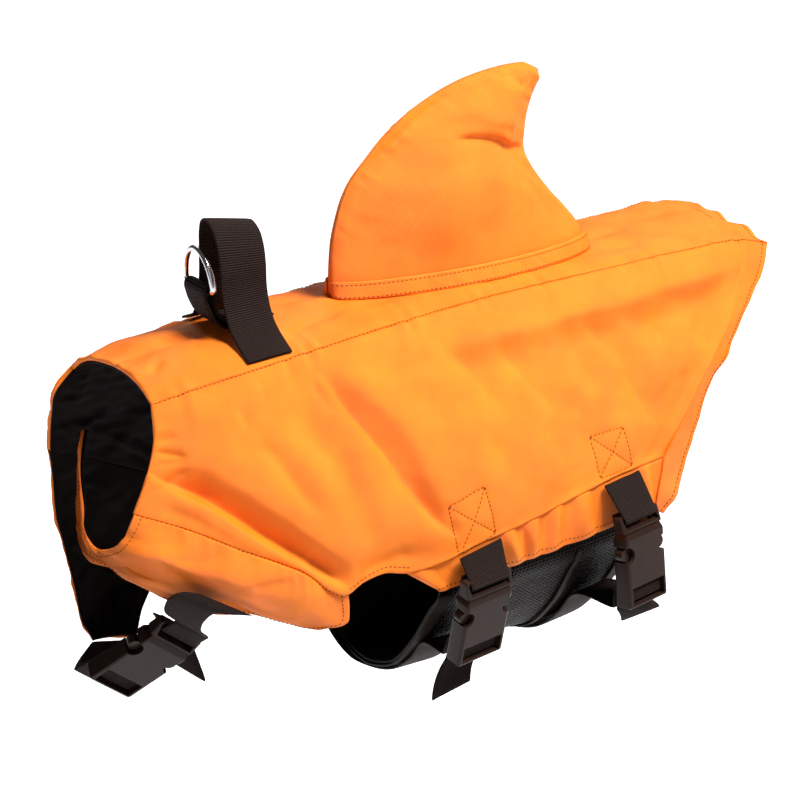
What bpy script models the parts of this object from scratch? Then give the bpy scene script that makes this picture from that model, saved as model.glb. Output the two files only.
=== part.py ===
"""Dog life jacket with a fin, a grab handle, a lead ring and three buckled straps.

The jacket keeps the hollow form it has when worn.  It is laid out along X from the neck (low X) to
the tail (high X), the dog's left side is at -Y, and +Z is up.  Lengths are metres.

Every cloth piece is a wall between two grids of points.  The outer grid comes from the body's
sections and from the edges of the cut; the inner grid is the outer one moved in along the cloth's
own normals.  Tables are measured from the neck end of the back seams, with x along the spine and z
up from the seams; the empty object "jacket" then moves that point so that the origin lies where the
wearer's back carries the jacket.
"""
from collections import namedtuple
import math

import bmesh
import bpy
import numpy as np
from mathutils import Matrix, Vector

# ---------------------------------------------------------------- driving dimensions
BACK_LENGTH = 0.381        # back seam, neck to the end of the padding
HALF_BACK = 0.046          # spine to back seam at the neck
PAD = 0.0060               # foam-filled panel
FLAP_PAD = 0.0042          # the thinner chest flaps
LINING = 0.0012
CLOTH = 0.0020             # two layers of shell cloth, hem strips and flange
HEM_SET = 0.0032           # how far the hem strips lie under the face of the padding
FLANGE_SET = 0.0024
FLANGE_GAP = 0.0014        # the flange's own surface starts this far behind the padding
MESH = 0.0016
TAPE = 0.0012              # binding tape
GAP = 0.0003               # between pieces that touch
WEBBING_WIDTH = 0.0250
WEBBING = 0.0016           # its thickness
REAR_SKEW = 0.010          # the right rear corner lies this much further back
CHEST_ROWS = 7             # rows of the shell along the chest seam
HEM_ROWS = 18              # and along the fold line
SIDE_COLS = 11             # columns from the back seam to the lower edge
BACK_COLS = 7
CARRIED_AT = (0.190, 0.0, 0.0045)   # the wearer's back, under the middle of the back panel

# half widths of the body at four depths below the back seams
DEPTHS = (0.0, 0.050, 0.100, 0.135)
Section = namedtuple("Section", "x seam shoulder side hem")
SECTIONS = (
    Section(-0.040, 0.044, 0.056, 0.056, 0.048),
    Section(0.000, 0.046, 0.064, 0.068, 0.060),
    Section(0.080, 0.047, 0.074, 0.084, 0.080),
    Section(0.160, 0.047, 0.080, 0.092, 0.090),
    Section(0.240, 0.046, 0.077, 0.089, 0.087),
    Section(0.310, 0.043, 0.069, 0.080, 0.078),
    Section(0.395, 0.040, 0.059, 0.069, 0.067),
)
# the back seams' height, the arch of the back between them, how square the arch is (2 is a
# parabola) and how much higher the right seam lies than the left one
Spine = namedtuple("Spine", "x seam_z arch square right_lift")
SPINE = (
    Spine(0.000, 0.0000, 0.0128, 3.2, -0.0030),
    Spine(0.075, 0.0030, 0.0104, 2.6, 0.0000),
    Spine(0.133, 0.0050, 0.0080, 2.2, 0.0000),
    Spine(0.196, 0.0060, 0.0070, 2.0, 0.0000),
    Spine(0.276, 0.0040, 0.0060, 2.0, 0.0000),
    Spine(0.340, 0.0015, 0.0046, 2.0, 0.0022),
    Spine(0.381, -0.0015, 0.0030, 2.0, 0.0045),
    Spine(0.396, -0.0060, 0.0018, 2.0, 0.0050),
)
Rim = namedtuple("Rim", "depth reach")
NECK_RIM = Rim(0.0030, 0.016)      # the padding thins towards the free edges
LOW_RIM = Rim(0.0022, 0.012)
REAR_RIM = Rim(0.0024, 0.012)

# ---------------------------------------------------------------- edges of the cut, side view
Edge = namedtuple("Edge", "x z")
NECK_LEFT = (Edge(0.000, 0.000), Edge(-0.004, -0.017), Edge(-0.011, -0.031), Edge(-0.023, -0.051))
NECK_RIGHT = (Edge(-0.006, 0.000), Edge(-0.017, -0.014), Edge(-0.019, -0.028), Edge(-0.021, -0.051))
CHEST_SEAM = (Edge(-0.003, -0.061), Edge(0.025, -0.079), Edge(0.055, -0.098), Edge(0.080, -0.118))
LEG_TOP = (Edge(0.091, -0.1135), Edge(0.102, -0.1120))
FOLD_LINE = (Edge(0.113, -0.1150), Edge(0.134, -0.1145), Edge(0.158, -0.1100), Edge(0.194, -0.1050),
             Edge(0.221, -0.1015), Edge(0.254, -0.0985), Edge(0.289, -0.0995))
PAD_END = (Edge(0.381, -0.0015), Edge(0.379, -0.011), Edge(0.368, -0.023), Edge(0.353, -0.041),
           Edge(0.340, -0.051), Edge(0.312, -0.075), Edge(0.299, -0.088), Edge(0.289, -0.0995))
LEG_BACK = (Edge(0.113, -0.1150), Edge(0.123, -0.1220), Edge(0.134, -0.1330))
HEM = (Edge(0.134, -0.1330), Edge(0.145, -0.1320), Edge(0.175, -0.1300), Edge(0.221, -0.1295),
       Edge(0.247, -0.1290), Edge(0.280, -0.1290))
FLANGE_INNER_END = (Edge(0.286, -0.1140), Edge(0.280, -0.1290))
FLANGE_OUTER = (Edge(0.395, -0.006), Edge(0.390, -0.016), Edge(0.377, -0.028), Edge(0.348, -0.054),
                Edge(0.325, -0.073), Edge(0.307, -0.100), Edge(0.297, -0.123), Edge(0.287, -0.134))

# the largest folds of a side panel: soft troughs (depth < 0) and ridges (depth > 0)
Fold = namedtuple("Fold", "x0 z0 x1 z1 half_width depth")
SIDE_FOLDS = (
    Fold(0.004, -0.040, 0.078, -0.108, 0.0110, -0.0042),
    Fold(0.012, -0.028, 0.088, -0.094, 0.0120, 0.0024),
    Fold(0.100, -0.014, 0.142, -0.074, 0.0130, 0.0018),
    Fold(0.118, -0.012, 0.150, -0.056, 0.0110, -0.0022),
    Fold(0.200, -0.018, 0.250, -0.060, 0.0140, 0.0016),
    Fold(0.286, -0.016, 0.350, -0.018, 0.0100, -0.0022),
)

# ---------------------------------------------------------------- chest flaps
Flap = namedtuple("Flap", "ax ay az bx by bz bulge")     # neck or front edge a, lower edge b
LEFT_FLAP = (
    Flap(-0.023, -0.0600, -0.051, 0.080, -0.0830, -0.118, 0.000),
    Flap(-0.025, -0.0600, -0.054, 0.079, -0.0800, -0.137, 0.003),
    Flap(-0.027, -0.0595, -0.057, 0.055, -0.0750, -0.134, 0.005),
    Flap(-0.029, -0.0585, -0.060, 0.029, -0.0690, -0.120, 0.006),
    Flap(-0.031, -0.0570, -0.063, 0.010, -0.0660, -0.115, 0.006),
    Flap(-0.034, -0.0530, -0.067, -0.013, -0.0610, -0.102, 0.005),
    Flap(-0.036, -0.0470, -0.070, -0.024, -0.0540, -0.093, 0.004),
    Flap(-0.038, -0.0370, -0.073, -0.034, -0.0430, -0.086, 0.003),
    Flap(-0.038, -0.0250, -0.071, -0.040, -0.0290, -0.083, 0.002),
    Flap(-0.0360, -0.0145, -0.0680, -0.040, -0.0150, -0.078, 0.001),
    Flap(-0.0330, -0.0065, -0.0601, -0.033, 0.0000, -0.069, 0.000),
    Flap(-0.0284, 0.0050, -0.0500, -0.027, 0.0110, -0.059, 0.000),
    Flap(-0.0226, 0.0152, -0.0427, -0.021, 0.0200, -0.050, 0.000),
    Flap(-0.0140, 0.0270, -0.0341, -0.013, 0.0300, -0.038, 0.000),
)
RIGHT_FLAP = (
    Flap(-0.021, 0.0600, -0.051, 0.080, 0.0830, -0.118, 0.000),
    Flap(-0.020, 0.0615, -0.062, 0.079, 0.0800, -0.137, 0.003),
    Flap(-0.0205, 0.0620, -0.073, 0.060, 0.0770, -0.142, 0.004),
    Flap(-0.0225, 0.0600, -0.095, 0.042, 0.0710, -0.149, 0.005),
    Flap(-0.0220, 0.0560, -0.112, 0.030, 0.0630, -0.156, 0.005),
    Flap(-0.0220, 0.0480, -0.134, 0.020, 0.0530, -0.162, 0.004),
    Flap(-0.0225, 0.0410, -0.151, 0.012, 0.0410, -0.166, 0.002),
    Flap(-0.0180, 0.0360, -0.161, 0.006, 0.0320, -0.168, 0.000),
)

# ---------------------------------------------------------------- belly
# section of the net: across as a share of its half width, depth as a share of the whole depth;
# the sag lies towards the right side
Sag = namedtuple("Sag", "across depth")
SAG = (Sag(-1.000, 0.00), Sag(-0.990, 0.11), Sag(-0.940, 0.19), Sag(-0.830, 0.29), Sag(-0.680, 0.45),
       Sag(-0.530, 0.60), Sag(-0.260, 0.81), Sag(0.000, 0.92), Sag(0.250, 0.98), Sag(0.500, 1.00),
       Sag(0.710, 0.94), Sag(0.870, 0.76), Sag(0.965, 0.48), Sag(1.000, 0.20), Sag(1.000, 0.00))
Belly = namedtuple("Belly", "x depth")                    # depth of the sag below its top edges
BELLY = (Belly(0.130, 0.095), Belly(0.164, 0.097), Belly(0.210, 0.096), Belly(0.250, 0.094),
         Belly(0.285, 0.088))
BELLY_TOP = -0.124
BELLY_FRONT, BELLY_REAR = 0.136, 0.277
BELLY_TAPE = 0.008
BELLY_SLANT = ((-1.0, 0.000), (-0.3, 0.001), (0.1, 0.005), (0.5, 0.015), (0.8, 0.019), (1.0, 0.016))

# ---------------------------------------------------------------- fin
FIN_FRONT, FIN_REAR = 0.128, 0.288
FIN_LEAD = (Edge(0.1280, 0.0110), Edge(0.1285, 0.0210), Edge(0.1300, 0.0330), Edge(0.1350, 0.0530),
            Edge(0.1450, 0.0730), Edge(0.1580, 0.0850), Edge(0.1700, 0.0950), Edge(0.1830, 0.1030),
            Edge(0.1970, 0.1090), Edge(0.2140, 0.1140), Edge(0.2330, 0.1170), Edge(0.2520, 0.1175),
            Edge(0.2600, 0.1168))
FIN_TRAIL = (Edge(0.2880, 0.0090), Edge(0.2870, 0.0150), Edge(0.2850, 0.0210), Edge(0.2780, 0.0320),
             Edge(0.2670, 0.0460), Edge(0.2585, 0.0600), Edge(0.2550, 0.0690), Edge(0.2560, 0.0800),
             Edge(0.2590, 0.0910), Edge(0.2630, 0.0990), Edge(0.2665, 0.1035), Edge(0.2690, 0.1070),
             Edge(0.2680, 0.1110))
FIN_HALF = 0.0200          # half thickness of the padding at the base
FIN_SKEW = -0.010          # the rear end of the base lies a little to the left
FIN_BAND = 0.0075          # stitched band round the base
FIN_SEAM = 0.0012          # half thickness left at the outline
FIN_SEAT = 0.0008          # over the arch of the back, so that the flat steps clear it

# ---------------------------------------------------------------- handle and lead ring
HANDLE_X = 0.0680
Lift = namedtuple("Lift", "y lift")                       # height of the webbing above the back
HANDLE = (
    Lift(-0.0425, 0.0011), Lift(-0.0370, 0.0016), Lift(-0.0320, 0.0028), Lift(-0.0260, 0.0062),
    Lift(-0.0215, 0.0142), Lift(-0.0200, 0.0249), Lift(-0.0208, 0.0382), Lift(-0.0192, 0.0511),
    Lift(-0.0170, 0.0560), Lift(-0.0125, 0.0595), Lift(-0.0080, 0.0608), Lift(-0.0035, 0.0585),
    Lift(-0.0010, 0.0537), Lift(0.0010, 0.0447), Lift(0.0022, 0.0387), Lift(0.0045, 0.0278),
    Lift(0.0085, 0.0170), Lift(0.0130, 0.0085), Lift(0.0185, 0.0030), Lift(0.0250, 0.0012),
    Lift(0.0320, 0.0011),
)
HANDLE_TWIST = (-0.0020, -0.0055)  # the rear edge at the top lies this much to the left and lower
RING_BAR = (0.0513, -0.0030, 0.0370)
RING_WIRE = 0.0016         # radius
RING_HALF = 0.0153         # half width between the wire's centres
RING_RISE = 0.0212         # bar to the top of the arc
LOOP_HALF = 0.0115

# ---------------------------------------------------------------- straps and buckles
# a buckle's own axes: x across, y up the strap towards the plug, z outwards; y = 0 at the middle
# of the socket's face
BUCKLE_HALF = 0.0160
BUCKLE_THICK = 0.0110
SOCKET = (-0.0280, 0.0135)
PLUG = (0.0150, 0.0250)
SLOT_HALF = 0.0134         # half width of the openings that take the webbing
WINDOW = (0.0148, 0.0034, 0.0046)    # side window: x, y, radius
BEND = 0.0012              # radius of the webbing's middle where it turns round a bar
Buckle = namedtuple("Buckle", "name face up across")
BUCKLES = (
    Buckle("front", (0.1549, -0.0975, -0.1499), (0.071, -0.253, 0.965), (0.988, 0.149, -0.033)),
    Buckle("rear", (0.2588, -0.1005, -0.1433), (0.040, 0.098, 0.994), (0.970, 0.234, -0.062)),
    Buckle("chest", (-0.0136, -0.0310, -0.1480), (0.647, -0.512, 0.565), (0.714, 0.147, -0.684)),
)
SEWN_FRONT, SEWN_REAR = 0.1570, 0.2535
# the middle of the webbing where it passes the plug's frame and the socket's bar, as y, z
PLUG_PATH = ((0.0310, 0.0032), (0.0205, 0.0022), (0.0205, -0.0062), (0.0245, -0.0064))
SOCKET_PATH = ((-0.0300, -0.0105), (-0.0172, -0.0080), (-0.0172, 0.0021), (-0.0250, 0.0021),
               (-0.0250, -0.0068), (-0.0310, -0.0074))
CHEST_PLUG_PATH = ((0.0310, 0.0032), (0.0205, 0.0022), (0.0205, -0.0070), (0.0180, -0.0100))
CHEST_SOCKET_PATH = ((-0.0380, -0.0090), (-0.0250, -0.0072), (-0.0250, 0.0021), (-0.0172, 0.0021),
                     (-0.0172, -0.0066), (-0.0110, -0.0070))
# free ends: left and right corner of the cut end
TAILS = {
    "front": ((0.1276, -0.0800, -0.1976), (0.1518, -0.0800, -0.1940)),
    "rear": ((0.2490, -0.0880, -0.1853), (0.2765, -0.0860, -0.1859)),
    "chest": ((0.0041, -0.0098, -0.1586), (0.0177, -0.0300, -0.1698)),
}
# the two edges of the chest webbing from the left flap to its plug
CHEST_HIGH = ((0.0018, -0.0729, -0.0970), (-0.0080, -0.0722, -0.0930), (-0.0132, -0.0686, -0.0955),
              (-0.0142, -0.0622, -0.1028))
CHEST_LOW = ((0.0270, -0.0760, -0.1157), (0.0161, -0.0754, -0.1116), (0.0076, -0.0722, -0.1095),
             (0.0046, -0.0655, -0.1156), (0.0058, -0.0575, -0.1240))


def table(rows):
    """The rows of a table as an array, one column per name."""
    return np.array([tuple(row) for row in rows], float)


def smooth(knots, values, at):
    """Cubic through the values; each knot's slope is the mean slope of its neighbours."""
    knots = np.asarray(knots, float)
    values = np.asarray(values, float)
    slopes = np.gradient(values, knots, axis=0)
    at = np.clip(np.asarray(at, float), knots[0], knots[-1])
    low = np.clip(np.searchsorted(knots, at, side="right") - 1, 0, len(knots) - 2)
    step = knots[low + 1] - knots[low]
    t = (at - knots[low]) / step
    if values.ndim > 1:
        step = step[..., None]
        t = t[..., None]
    return (values[low] * (2 * t**3 - 3 * t**2 + 1) + values[low + 1] * (3 * t**2 - 2 * t**3)
            + step * (slopes[low] * (t**3 - 2 * t**2 + t) + slopes[low + 1] * (t**3 - t**2)))


def along(points, at):
    """Points of a smooth curve at fractions of its length."""
    points = np.asarray(points, float)
    reach = np.concatenate([[0.0], np.cumsum(np.linalg.norm(np.diff(points, axis=0), axis=1))])
    return smooth(reach / reach[-1], points, at)


def unit(vectors):
    return vectors / np.linalg.norm(vectors, axis=-1, keepdims=True)


# ---------------------------------------------------------------- the body's form
SECTION_ROWS = table(SECTIONS)
SPINE_ROWS = table(SPINE)


def half_width(x, z):
    """Spine plane to cloth: smooth along x in each column, then a cubic through the four depths."""
    columns = smooth(SECTION_ROWS[:, 0], SECTION_ROWS[:, 1:], x)
    depth = np.clip(-np.asarray(z, float), -0.012, 0.150)
    total = np.zeros(np.shape(depth))
    for k, own in enumerate(DEPTHS):
        weight = np.ones(np.shape(depth))
        for other in DEPTHS:
            if other != own:
                weight = weight * (depth - other) / (own - other)
        total = total + weight * columns[..., k]
    return total


def seam_height(x):
    return smooth(SPINE_ROWS[:, 0], SPINE_ROWS[:, 1], x)


def back_height(x, y):
    """Height of the back: an arch between the two back seams."""
    across = np.abs(y / half_width(x, seam_height(x)))
    arch = smooth(SPINE_ROWS[:, 0], SPINE_ROWS[:, 2], x)
    square = smooth(SPINE_ROWS[:, 0], SPINE_ROWS[:, 3], x)
    return seam_height(x) + arch * (1 - across**square)


def skewed(points):
    """The rear of the right side lies further back, less and less towards the hem."""
    rear = np.clip((points[..., 0] - 0.18) / 0.20, 0, 1)
    right = np.clip(0.5 + points[..., 1] / (2 * HALF_BACK), 0, 1)
    high = np.clip(1 + points[..., 2] / 0.09, 0, 1)
    moved = points.copy()
    lift = smooth(SPINE_ROWS[:, 0], SPINE_ROWS[:, 4], points[..., 0])
    moved[..., 2] += lift * right * high
    moved[..., 0] += REAR_SKEW * rear**2 * (3 - 2 * rear) * right * high
    return moved


def on_side(side, x, z):
    """Points of the body's side above the side-view points x, z; side is -1 left or 1 right."""
    return skewed(np.stack([x, side * half_width(x, z), z], -1))


def low_edge(side):
    """Lower edge of a side panel: chest seam, top of the leg hole, fold line."""
    neck = table(NECK_LEFT if side < 0 else NECK_RIGHT)
    return np.concatenate([neck[-1:], table(CHEST_SEAM + LEG_TOP + FOLD_LINE)])


def share_of_length(points, index):
    """How far along a curve one of its knots lies, as a fraction of its length."""
    steps = np.linalg.norm(np.diff(points, axis=0), axis=1)
    return float(np.sum(steps[:index]) / np.sum(steps))


def rows_along(side):
    """Rows of the shell from neck to tail, with one on each corner of its lower edge."""
    low = low_edge(side)
    leg = share_of_length(low, len(CHEST_SEAM))
    fold = share_of_length(low, len(CHEST_SEAM) + len(LEG_TOP) + 1)
    return np.concatenate([np.linspace(0, leg, CHEST_ROWS), np.linspace(leg, fold, 4)[1:],
                           np.linspace(fold, 1, HEM_ROWS)[1:]])


def side_flat(side, u, v):
    """Side panel in side view: a patch blended from its four edges, u neck to tail, v top to bottom."""
    neck = table(NECK_LEFT if side < 0 else NECK_RIGHT)
    low = low_edge(side)
    end = table(PAD_END)
    x_top = neck[0, 0] + (BACK_LENGTH - neck[0, 0]) * u
    top = np.stack([x_top, seam_height(x_top)], -1)
    bottom = along(low, u)
    front = along(neck, v)
    rear = along(end, v)
    uu, vv = u[..., None], v[..., None]
    corners = ((1 - uu) * (1 - vv) * neck[0] + uu * (1 - vv) * end[0]
               + (1 - uu) * vv * low[0] + uu * vv * low[-1])
    return (1 - vv) * top + vv * bottom + (1 - uu) * front + uu * rear - corners


def side_points(side, u, v):
    flat = side_flat(side, u, v)
    return on_side(side, flat[..., 0], flat[..., 1])


def back_points(u, across):
    """Back panel: u neck to tail, across -1 at the left seam to 1 at the right seam."""
    start = np.interp(across, (-1, 0, 1), (NECK_LEFT[0].x, 0.0, NECK_RIGHT[0].x))
    x = start + (BACK_LENGTH - start) * u
    y = across * half_width(x, seam_height(x))
    return skewed(np.stack([x, y, back_height(x, y)], -1))


def fold_relief(side, x, z):
    """Sum of the folds: a bell across each line, fading out at its two ends."""
    total = np.zeros(np.shape(x))
    for fold in SIDE_FOLDS:
        run = np.array([fold.x1 - fold.x0, fold.z1 - fold.z0])
        length = np.linalg.norm(run)
        run = run / length
        t = ((x - fold.x0) * run[0] + (z - fold.z0) * run[1]) / length
        off = (x - fold.x0) * run[1] - (z - fold.z0) * run[0]
        fade = np.clip(1.2 - np.abs(2 * t - 1) * 1.2, 0, 1)
        total = total + fold.depth * np.exp(-(off / fold.half_width)**2) * fade**2 * (3 - 2 * fade)
    return total


# ---------------------------------------------------------------- solids
def material(name, colour, roughness, metallic=0.0):
    made = bpy.data.materials.new(name)
    made.use_nodes = True
    shader = made.node_tree.nodes["Principled BSDF"]
    shader.inputs["Base Color"].default_value = (*colour, 1.0)
    shader.inputs["Roughness"].default_value = roughness
    shader.inputs["Metallic"].default_value = metallic
    return made


def solid(name, verts, faces, parent, finish, sharp=0.6):
    """One closed object; faces are turned outwards where the mesh came out inside out."""
    mesh = bpy.data.meshes.new(name)
    mesh.from_pydata([tuple(v) for v in np.asarray(verts, float)], [], faces)
    shape = bmesh.new()
    shape.from_mesh(mesh)
    if shape.calc_volume(signed=True) < 0:
        bmesh.ops.reverse_faces(shape, faces=shape.faces)
    shape.to_mesh(mesh)
    shape.free()
    mesh.shade_smooth()
    mesh.set_sharp_from_angle(angle=sharp)
    made = bpy.data.objects.new(name, mesh)
    made.data.materials.append(material(name + "_finish", *finish))
    made.parent = parent
    bpy.context.collection.objects.link(made)
    return made


def grid_normals(points):
    """Unit normals of a grid, from its own steps, pointing away from the body's middle."""
    normals = unit(np.cross(np.gradient(points, axis=0), np.gradient(points, axis=1)))
    middle = np.array([0.19, 0.0, -0.09])
    if np.sum(normals * (points - middle)) < 0:
        normals = -normals
    return normals


def wall(name, outer, inner, parent, finish):
    """Closed wall between two grids of the same size.  Both grids are split along the same
    diagonals, so that walls made from one set of points keep their distance everywhere."""
    rows, cols = outer.shape[:2]
    verts = np.concatenate([outer.reshape(-1, 3), inner.reshape(-1, 3)])
    size = rows * cols
    faces = []
    for i in range(rows - 1):
        for j in range(cols - 1):
            a = i * cols + j
            for corner in ((a, a + 1, a + cols + 1), (a, a + cols + 1, a + cols)):
                faces.append(corner)
                faces.append(tuple(size + k for k in reversed(corner)))
    ring = ([j for j in range(cols)] + [i * cols + cols - 1 for i in range(1, rows)]
            + [(rows - 1) * cols + j for j in range(cols - 2, -1, -1)]
            + [i * cols for i in range(rows - 2, 0, -1)])
    for k, a in enumerate(ring):
        b = ring[(k + 1) % len(ring)]
        faces.append((b, a, size + a, size + b))
    return solid(name, verts, faces, parent, finish)


def ribbon(name, edge_a, edge_b, thickness, parent, finish):
    """Webbing or tape between two edge curves, half its thickness to each side."""
    edge_a = np.asarray(edge_a, float)
    edge_b = np.asarray(edge_b, float)
    middle = (edge_a + edge_b) / 2
    normals = unit(np.cross(np.gradient(middle, axis=0), edge_b - edge_a))
    outer = np.stack([edge_a + normals * thickness / 2, edge_b + normals * thickness / 2], 1)
    inner = np.stack([edge_a - normals * thickness / 2, edge_b - normals * thickness / 2], 1)
    return wall(name, outer, inner, parent, finish)


def mesh_grid(rows, cols, trim_rows=(0.0, 0.0), trim_cols=(0.0, 0.0)):
    u = np.linspace(trim_rows[0], 1 - trim_rows[1], rows)
    v = np.linspace(trim_cols[0], 1 - trim_cols[1], cols)
    return np.meshgrid(u, v, indexing="ij")


# ---------------------------------------------------------------- finishes: colour, roughness
SHELL = ((0.95, 0.34, 0.02), 0.45)
SATIN_LINING = ((0.012, 0.011, 0.012), 0.40)
NET = ((0.015, 0.013, 0.013), 0.75)
BLACK_WEBBING = ((0.016, 0.014, 0.014), 0.70)
NYLON = ((0.030, 0.022, 0.018), 0.38)
CHROME = ((0.80, 0.80, 0.82), 0.12, 1.0)


# ---------------------------------------------------------------- padded shell and lining
SIDE_TRIM = GAP / 2 / 0.11
BACK_TRIM = GAP / 2 / HALF_BACK


def eased(distance, rim):
    """How much the padding thins at this distance from a free edge."""
    t = np.clip(1 - distance / rim.reach, 0, 1)
    return rim.depth * t * t * (3 - 2 * t)


def mitre(first, second):
    """Direction shared by two walls at their seam, long enough to keep both walls' thickness."""
    both = unit(first + second)
    return both / np.sum(both * first, axis=-1, keepdims=True)


def back_seam_normals(side, u):
    side_n = grid_normals(side_points(side, *np.meshgrid(u, np.linspace(0, 1, 14), indexing="ij")))
    across = side * np.linspace(1, 0.5, 6)
    back_n = grid_normals(back_points(*np.meshgrid(u, across, indexing="ij")))
    return mitre(side_n[:, 0], back_n[:, 0])


def chest_seam_normals(side, t):
    """Shared direction along the chest seam, t from the neck to the leg hole."""
    leg = share_of_length(low_edge(side), len(CHEST_SEAM))
    u = np.clip(t, 0, 1) * leg
    side_n = grid_normals(side_points(side, *np.meshgrid(u, np.linspace(0, 1, 14), indexing="ij")))
    flap = flap_points(side, *np.meshgrid(np.linspace(0, 1, 24), t, indexing="ij"))
    return mitre(side_n[:, -1], grid_normals(flap)[0])


def side_panel(side, name, depth_out, depth_in, shaped, parent, finish):
    """Padded side, or its lining: the body's side between two depths under the shell's face."""
    rows = rows_along(side)
    u, v = np.meshgrid(rows, np.linspace(SIDE_TRIM, 1 - SIDE_TRIM, SIDE_COLS), indexing="ij")
    base = side_points(side, u, v)
    normals = grid_normals(base)
    normals[:, 0] = back_seam_normals(side, rows)
    leg = rows[CHEST_ROWS - 1]
    normals[:CHEST_ROWS, -1] = chest_seam_normals(side, rows[:CHEST_ROWS] / leg)
    outer = base - normals * depth_out
    if shaped:
        flat = side_flat(side, u, v)
        edge = np.clip(np.minimum(v / 0.10, (1 - v) / 0.12), 0, 1) * np.clip(u / 0.05, 0, 1)
        relief = fold_relief(side, flat[..., 0], flat[..., 1]) * edge
        free = np.clip((u - leg) / 0.05, 0, 1)
        relief = relief - eased(u * 0.36, NECK_RIM) - eased((1 - v) * 0.11, LOW_RIM) * free
        relief = relief - eased((1 - u) * 0.36, REAR_RIM)
        outer = outer + normals * relief[..., None]
    return wall(name, outer, base - normals * depth_in, parent, finish)


def back_panel(name, depth_out, depth_in, shaped, parent, finish):
    rows = rows_along(-1)
    u, across = np.meshgrid(rows, np.linspace(-1, 1, BACK_COLS) * (1 - BACK_TRIM), indexing="ij")
    base = back_points(u, across)
    normals = grid_normals(base)
    normals[:, 0] = back_seam_normals(-1, rows)
    normals[:, -1] = back_seam_normals(1, rows)
    outer = base - normals * depth_out
    if shaped:
        relief = eased(u * 0.36, NECK_RIM) + eased((1 - u) * 0.36, REAR_RIM)
        outer = outer - normals * relief[..., None]
    return wall(name, outer, base - normals * depth_in, parent, finish)


def hem_strip(side, name, parent):
    """Unpadded strip under the fold line, from the leg hole to the flange."""
    rows = rows_along(side)[CHEST_ROWS + 2:]
    share = (rows - rows[0]) / (rows[-1] - rows[0])
    top = along(low_edge(side), rows)
    low = along(table(HEM), share)
    v = np.array([0.016, 0.25, 0.5, 0.75, 1.0])[None, :, None]
    flat = top[:, None] * (1 - v) + low[:, None] * v
    flat[-1, :, 0] -= GAP
    pucker = 0.0006 * np.sin(share * 2 * np.pi * 9.0)[:, None, None] * np.sin(np.pi * v)
    base = on_side(side, flat[..., 0], flat[..., 1])
    normals = grid_normals(base)
    outer = base - normals * (HEM_SET - pucker)
    return wall(name, outer, base - normals * (HEM_SET + CLOTH), parent, SHELL)


def side_flange_points(side):
    """Middle of the stitched edge behind the side's padding, from the back seam to the hem."""
    v = np.linspace(SIDE_TRIM, 1, SIDE_COLS)
    pad_end = along(table(PAD_END), v)
    below = table(FLANGE_INNER_END)[-1]
    extra = np.array([0.25, 0.5, 0.75, 1.0])[:, None]
    inner_edge = np.concatenate([pad_end, pad_end[-1] * (1 - extra) + below * extra])
    outer_edge = along(table(FLANGE_OUTER), np.linspace(0.0, 1, len(inner_edge)))
    inner_edge = inner_edge + unit(outer_edge - inner_edge) * FLANGE_GAP
    flat = np.stack([inner_edge, (inner_edge + outer_edge) / 2, outer_edge], 1)
    return on_side(side, flat[..., 0], flat[..., 1])


def back_flange_points():
    across = np.linspace(-1, 1, BACK_COLS) * (1 - BACK_TRIM)
    ends = np.array([BACK_LENGTH + FLANGE_GAP, BACK_LENGTH + 0.0073, FLANGE_OUTER[0].x])
    x = np.repeat(ends[None], BACK_COLS, 0)
    y = across[:, None] * half_width(x, seam_height(x))
    return skewed(np.stack([x, y, back_height(x, y)], -1))


def flange_corner(side):
    """Shared direction where the side's flange meets the back's."""
    back = grid_normals(back_flange_points())
    return mitre(grid_normals(side_flange_points(side))[0], back[0 if side < 0 else -1])


def side_flange(side, name, parent):
    base = side_flange_points(side)
    normals = grid_normals(base)
    normals[0] = flange_corner(side)
    wave = 0.0008 * np.sin(np.linspace(0, 1, len(base)) * 2 * np.pi * 7)[:, None, None]
    lift = np.array([0.0, 1.0, 1.0])[None, :, None]
    outer = base - normals * (FLANGE_SET + wave * lift)
    return wall(name, outer, outer - normals * CLOTH, parent, SHELL)


def back_flange(name, parent):
    base = back_flange_points()
    normals = grid_normals(base)
    normals[0] = flange_corner(-1)
    normals[-1] = flange_corner(1)
    return wall(name, base - normals * FLANGE_SET, base - normals * (FLANGE_SET + CLOTH), parent,
                SHELL)


def flap_points(side, s, t):
    """Chest flap: straight lines from edge a to edge b, bowed outwards by each row's bulge; near
    the chest seam (s = 0) they follow the seam's own curve, t from the neck to the leg hole."""
    data = table(LEFT_FLAP if side < 0 else RIGHT_FLAP)
    knots = np.linspace(0, 1, len(data))
    edge_a = smooth(knots, data[:, 0:3], s)
    edge_b = smooth(knots, data[:, 3:6], s)
    bulge = smooth(knots, data[:, 6], s)
    plain = edge_a * (1 - t[..., None]) + edge_b * t[..., None]
    low = low_edge(side)
    seam = along(low, t * share_of_length(low, len(CHEST_SEAM)))
    seam = on_side(side, seam[..., 0], seam[..., 1])
    first = data[0, 0:3] * (1 - t[..., None]) + data[0, 3:6] * t[..., None]
    near = np.clip(1 - s / 0.30, 0, 1)[..., None]**2
    plain = plain + (seam - first) * near
    normals = grid_normals(plain)
    return plain + normals * (bulge * 4 * t * (1 - t))[..., None]


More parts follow.
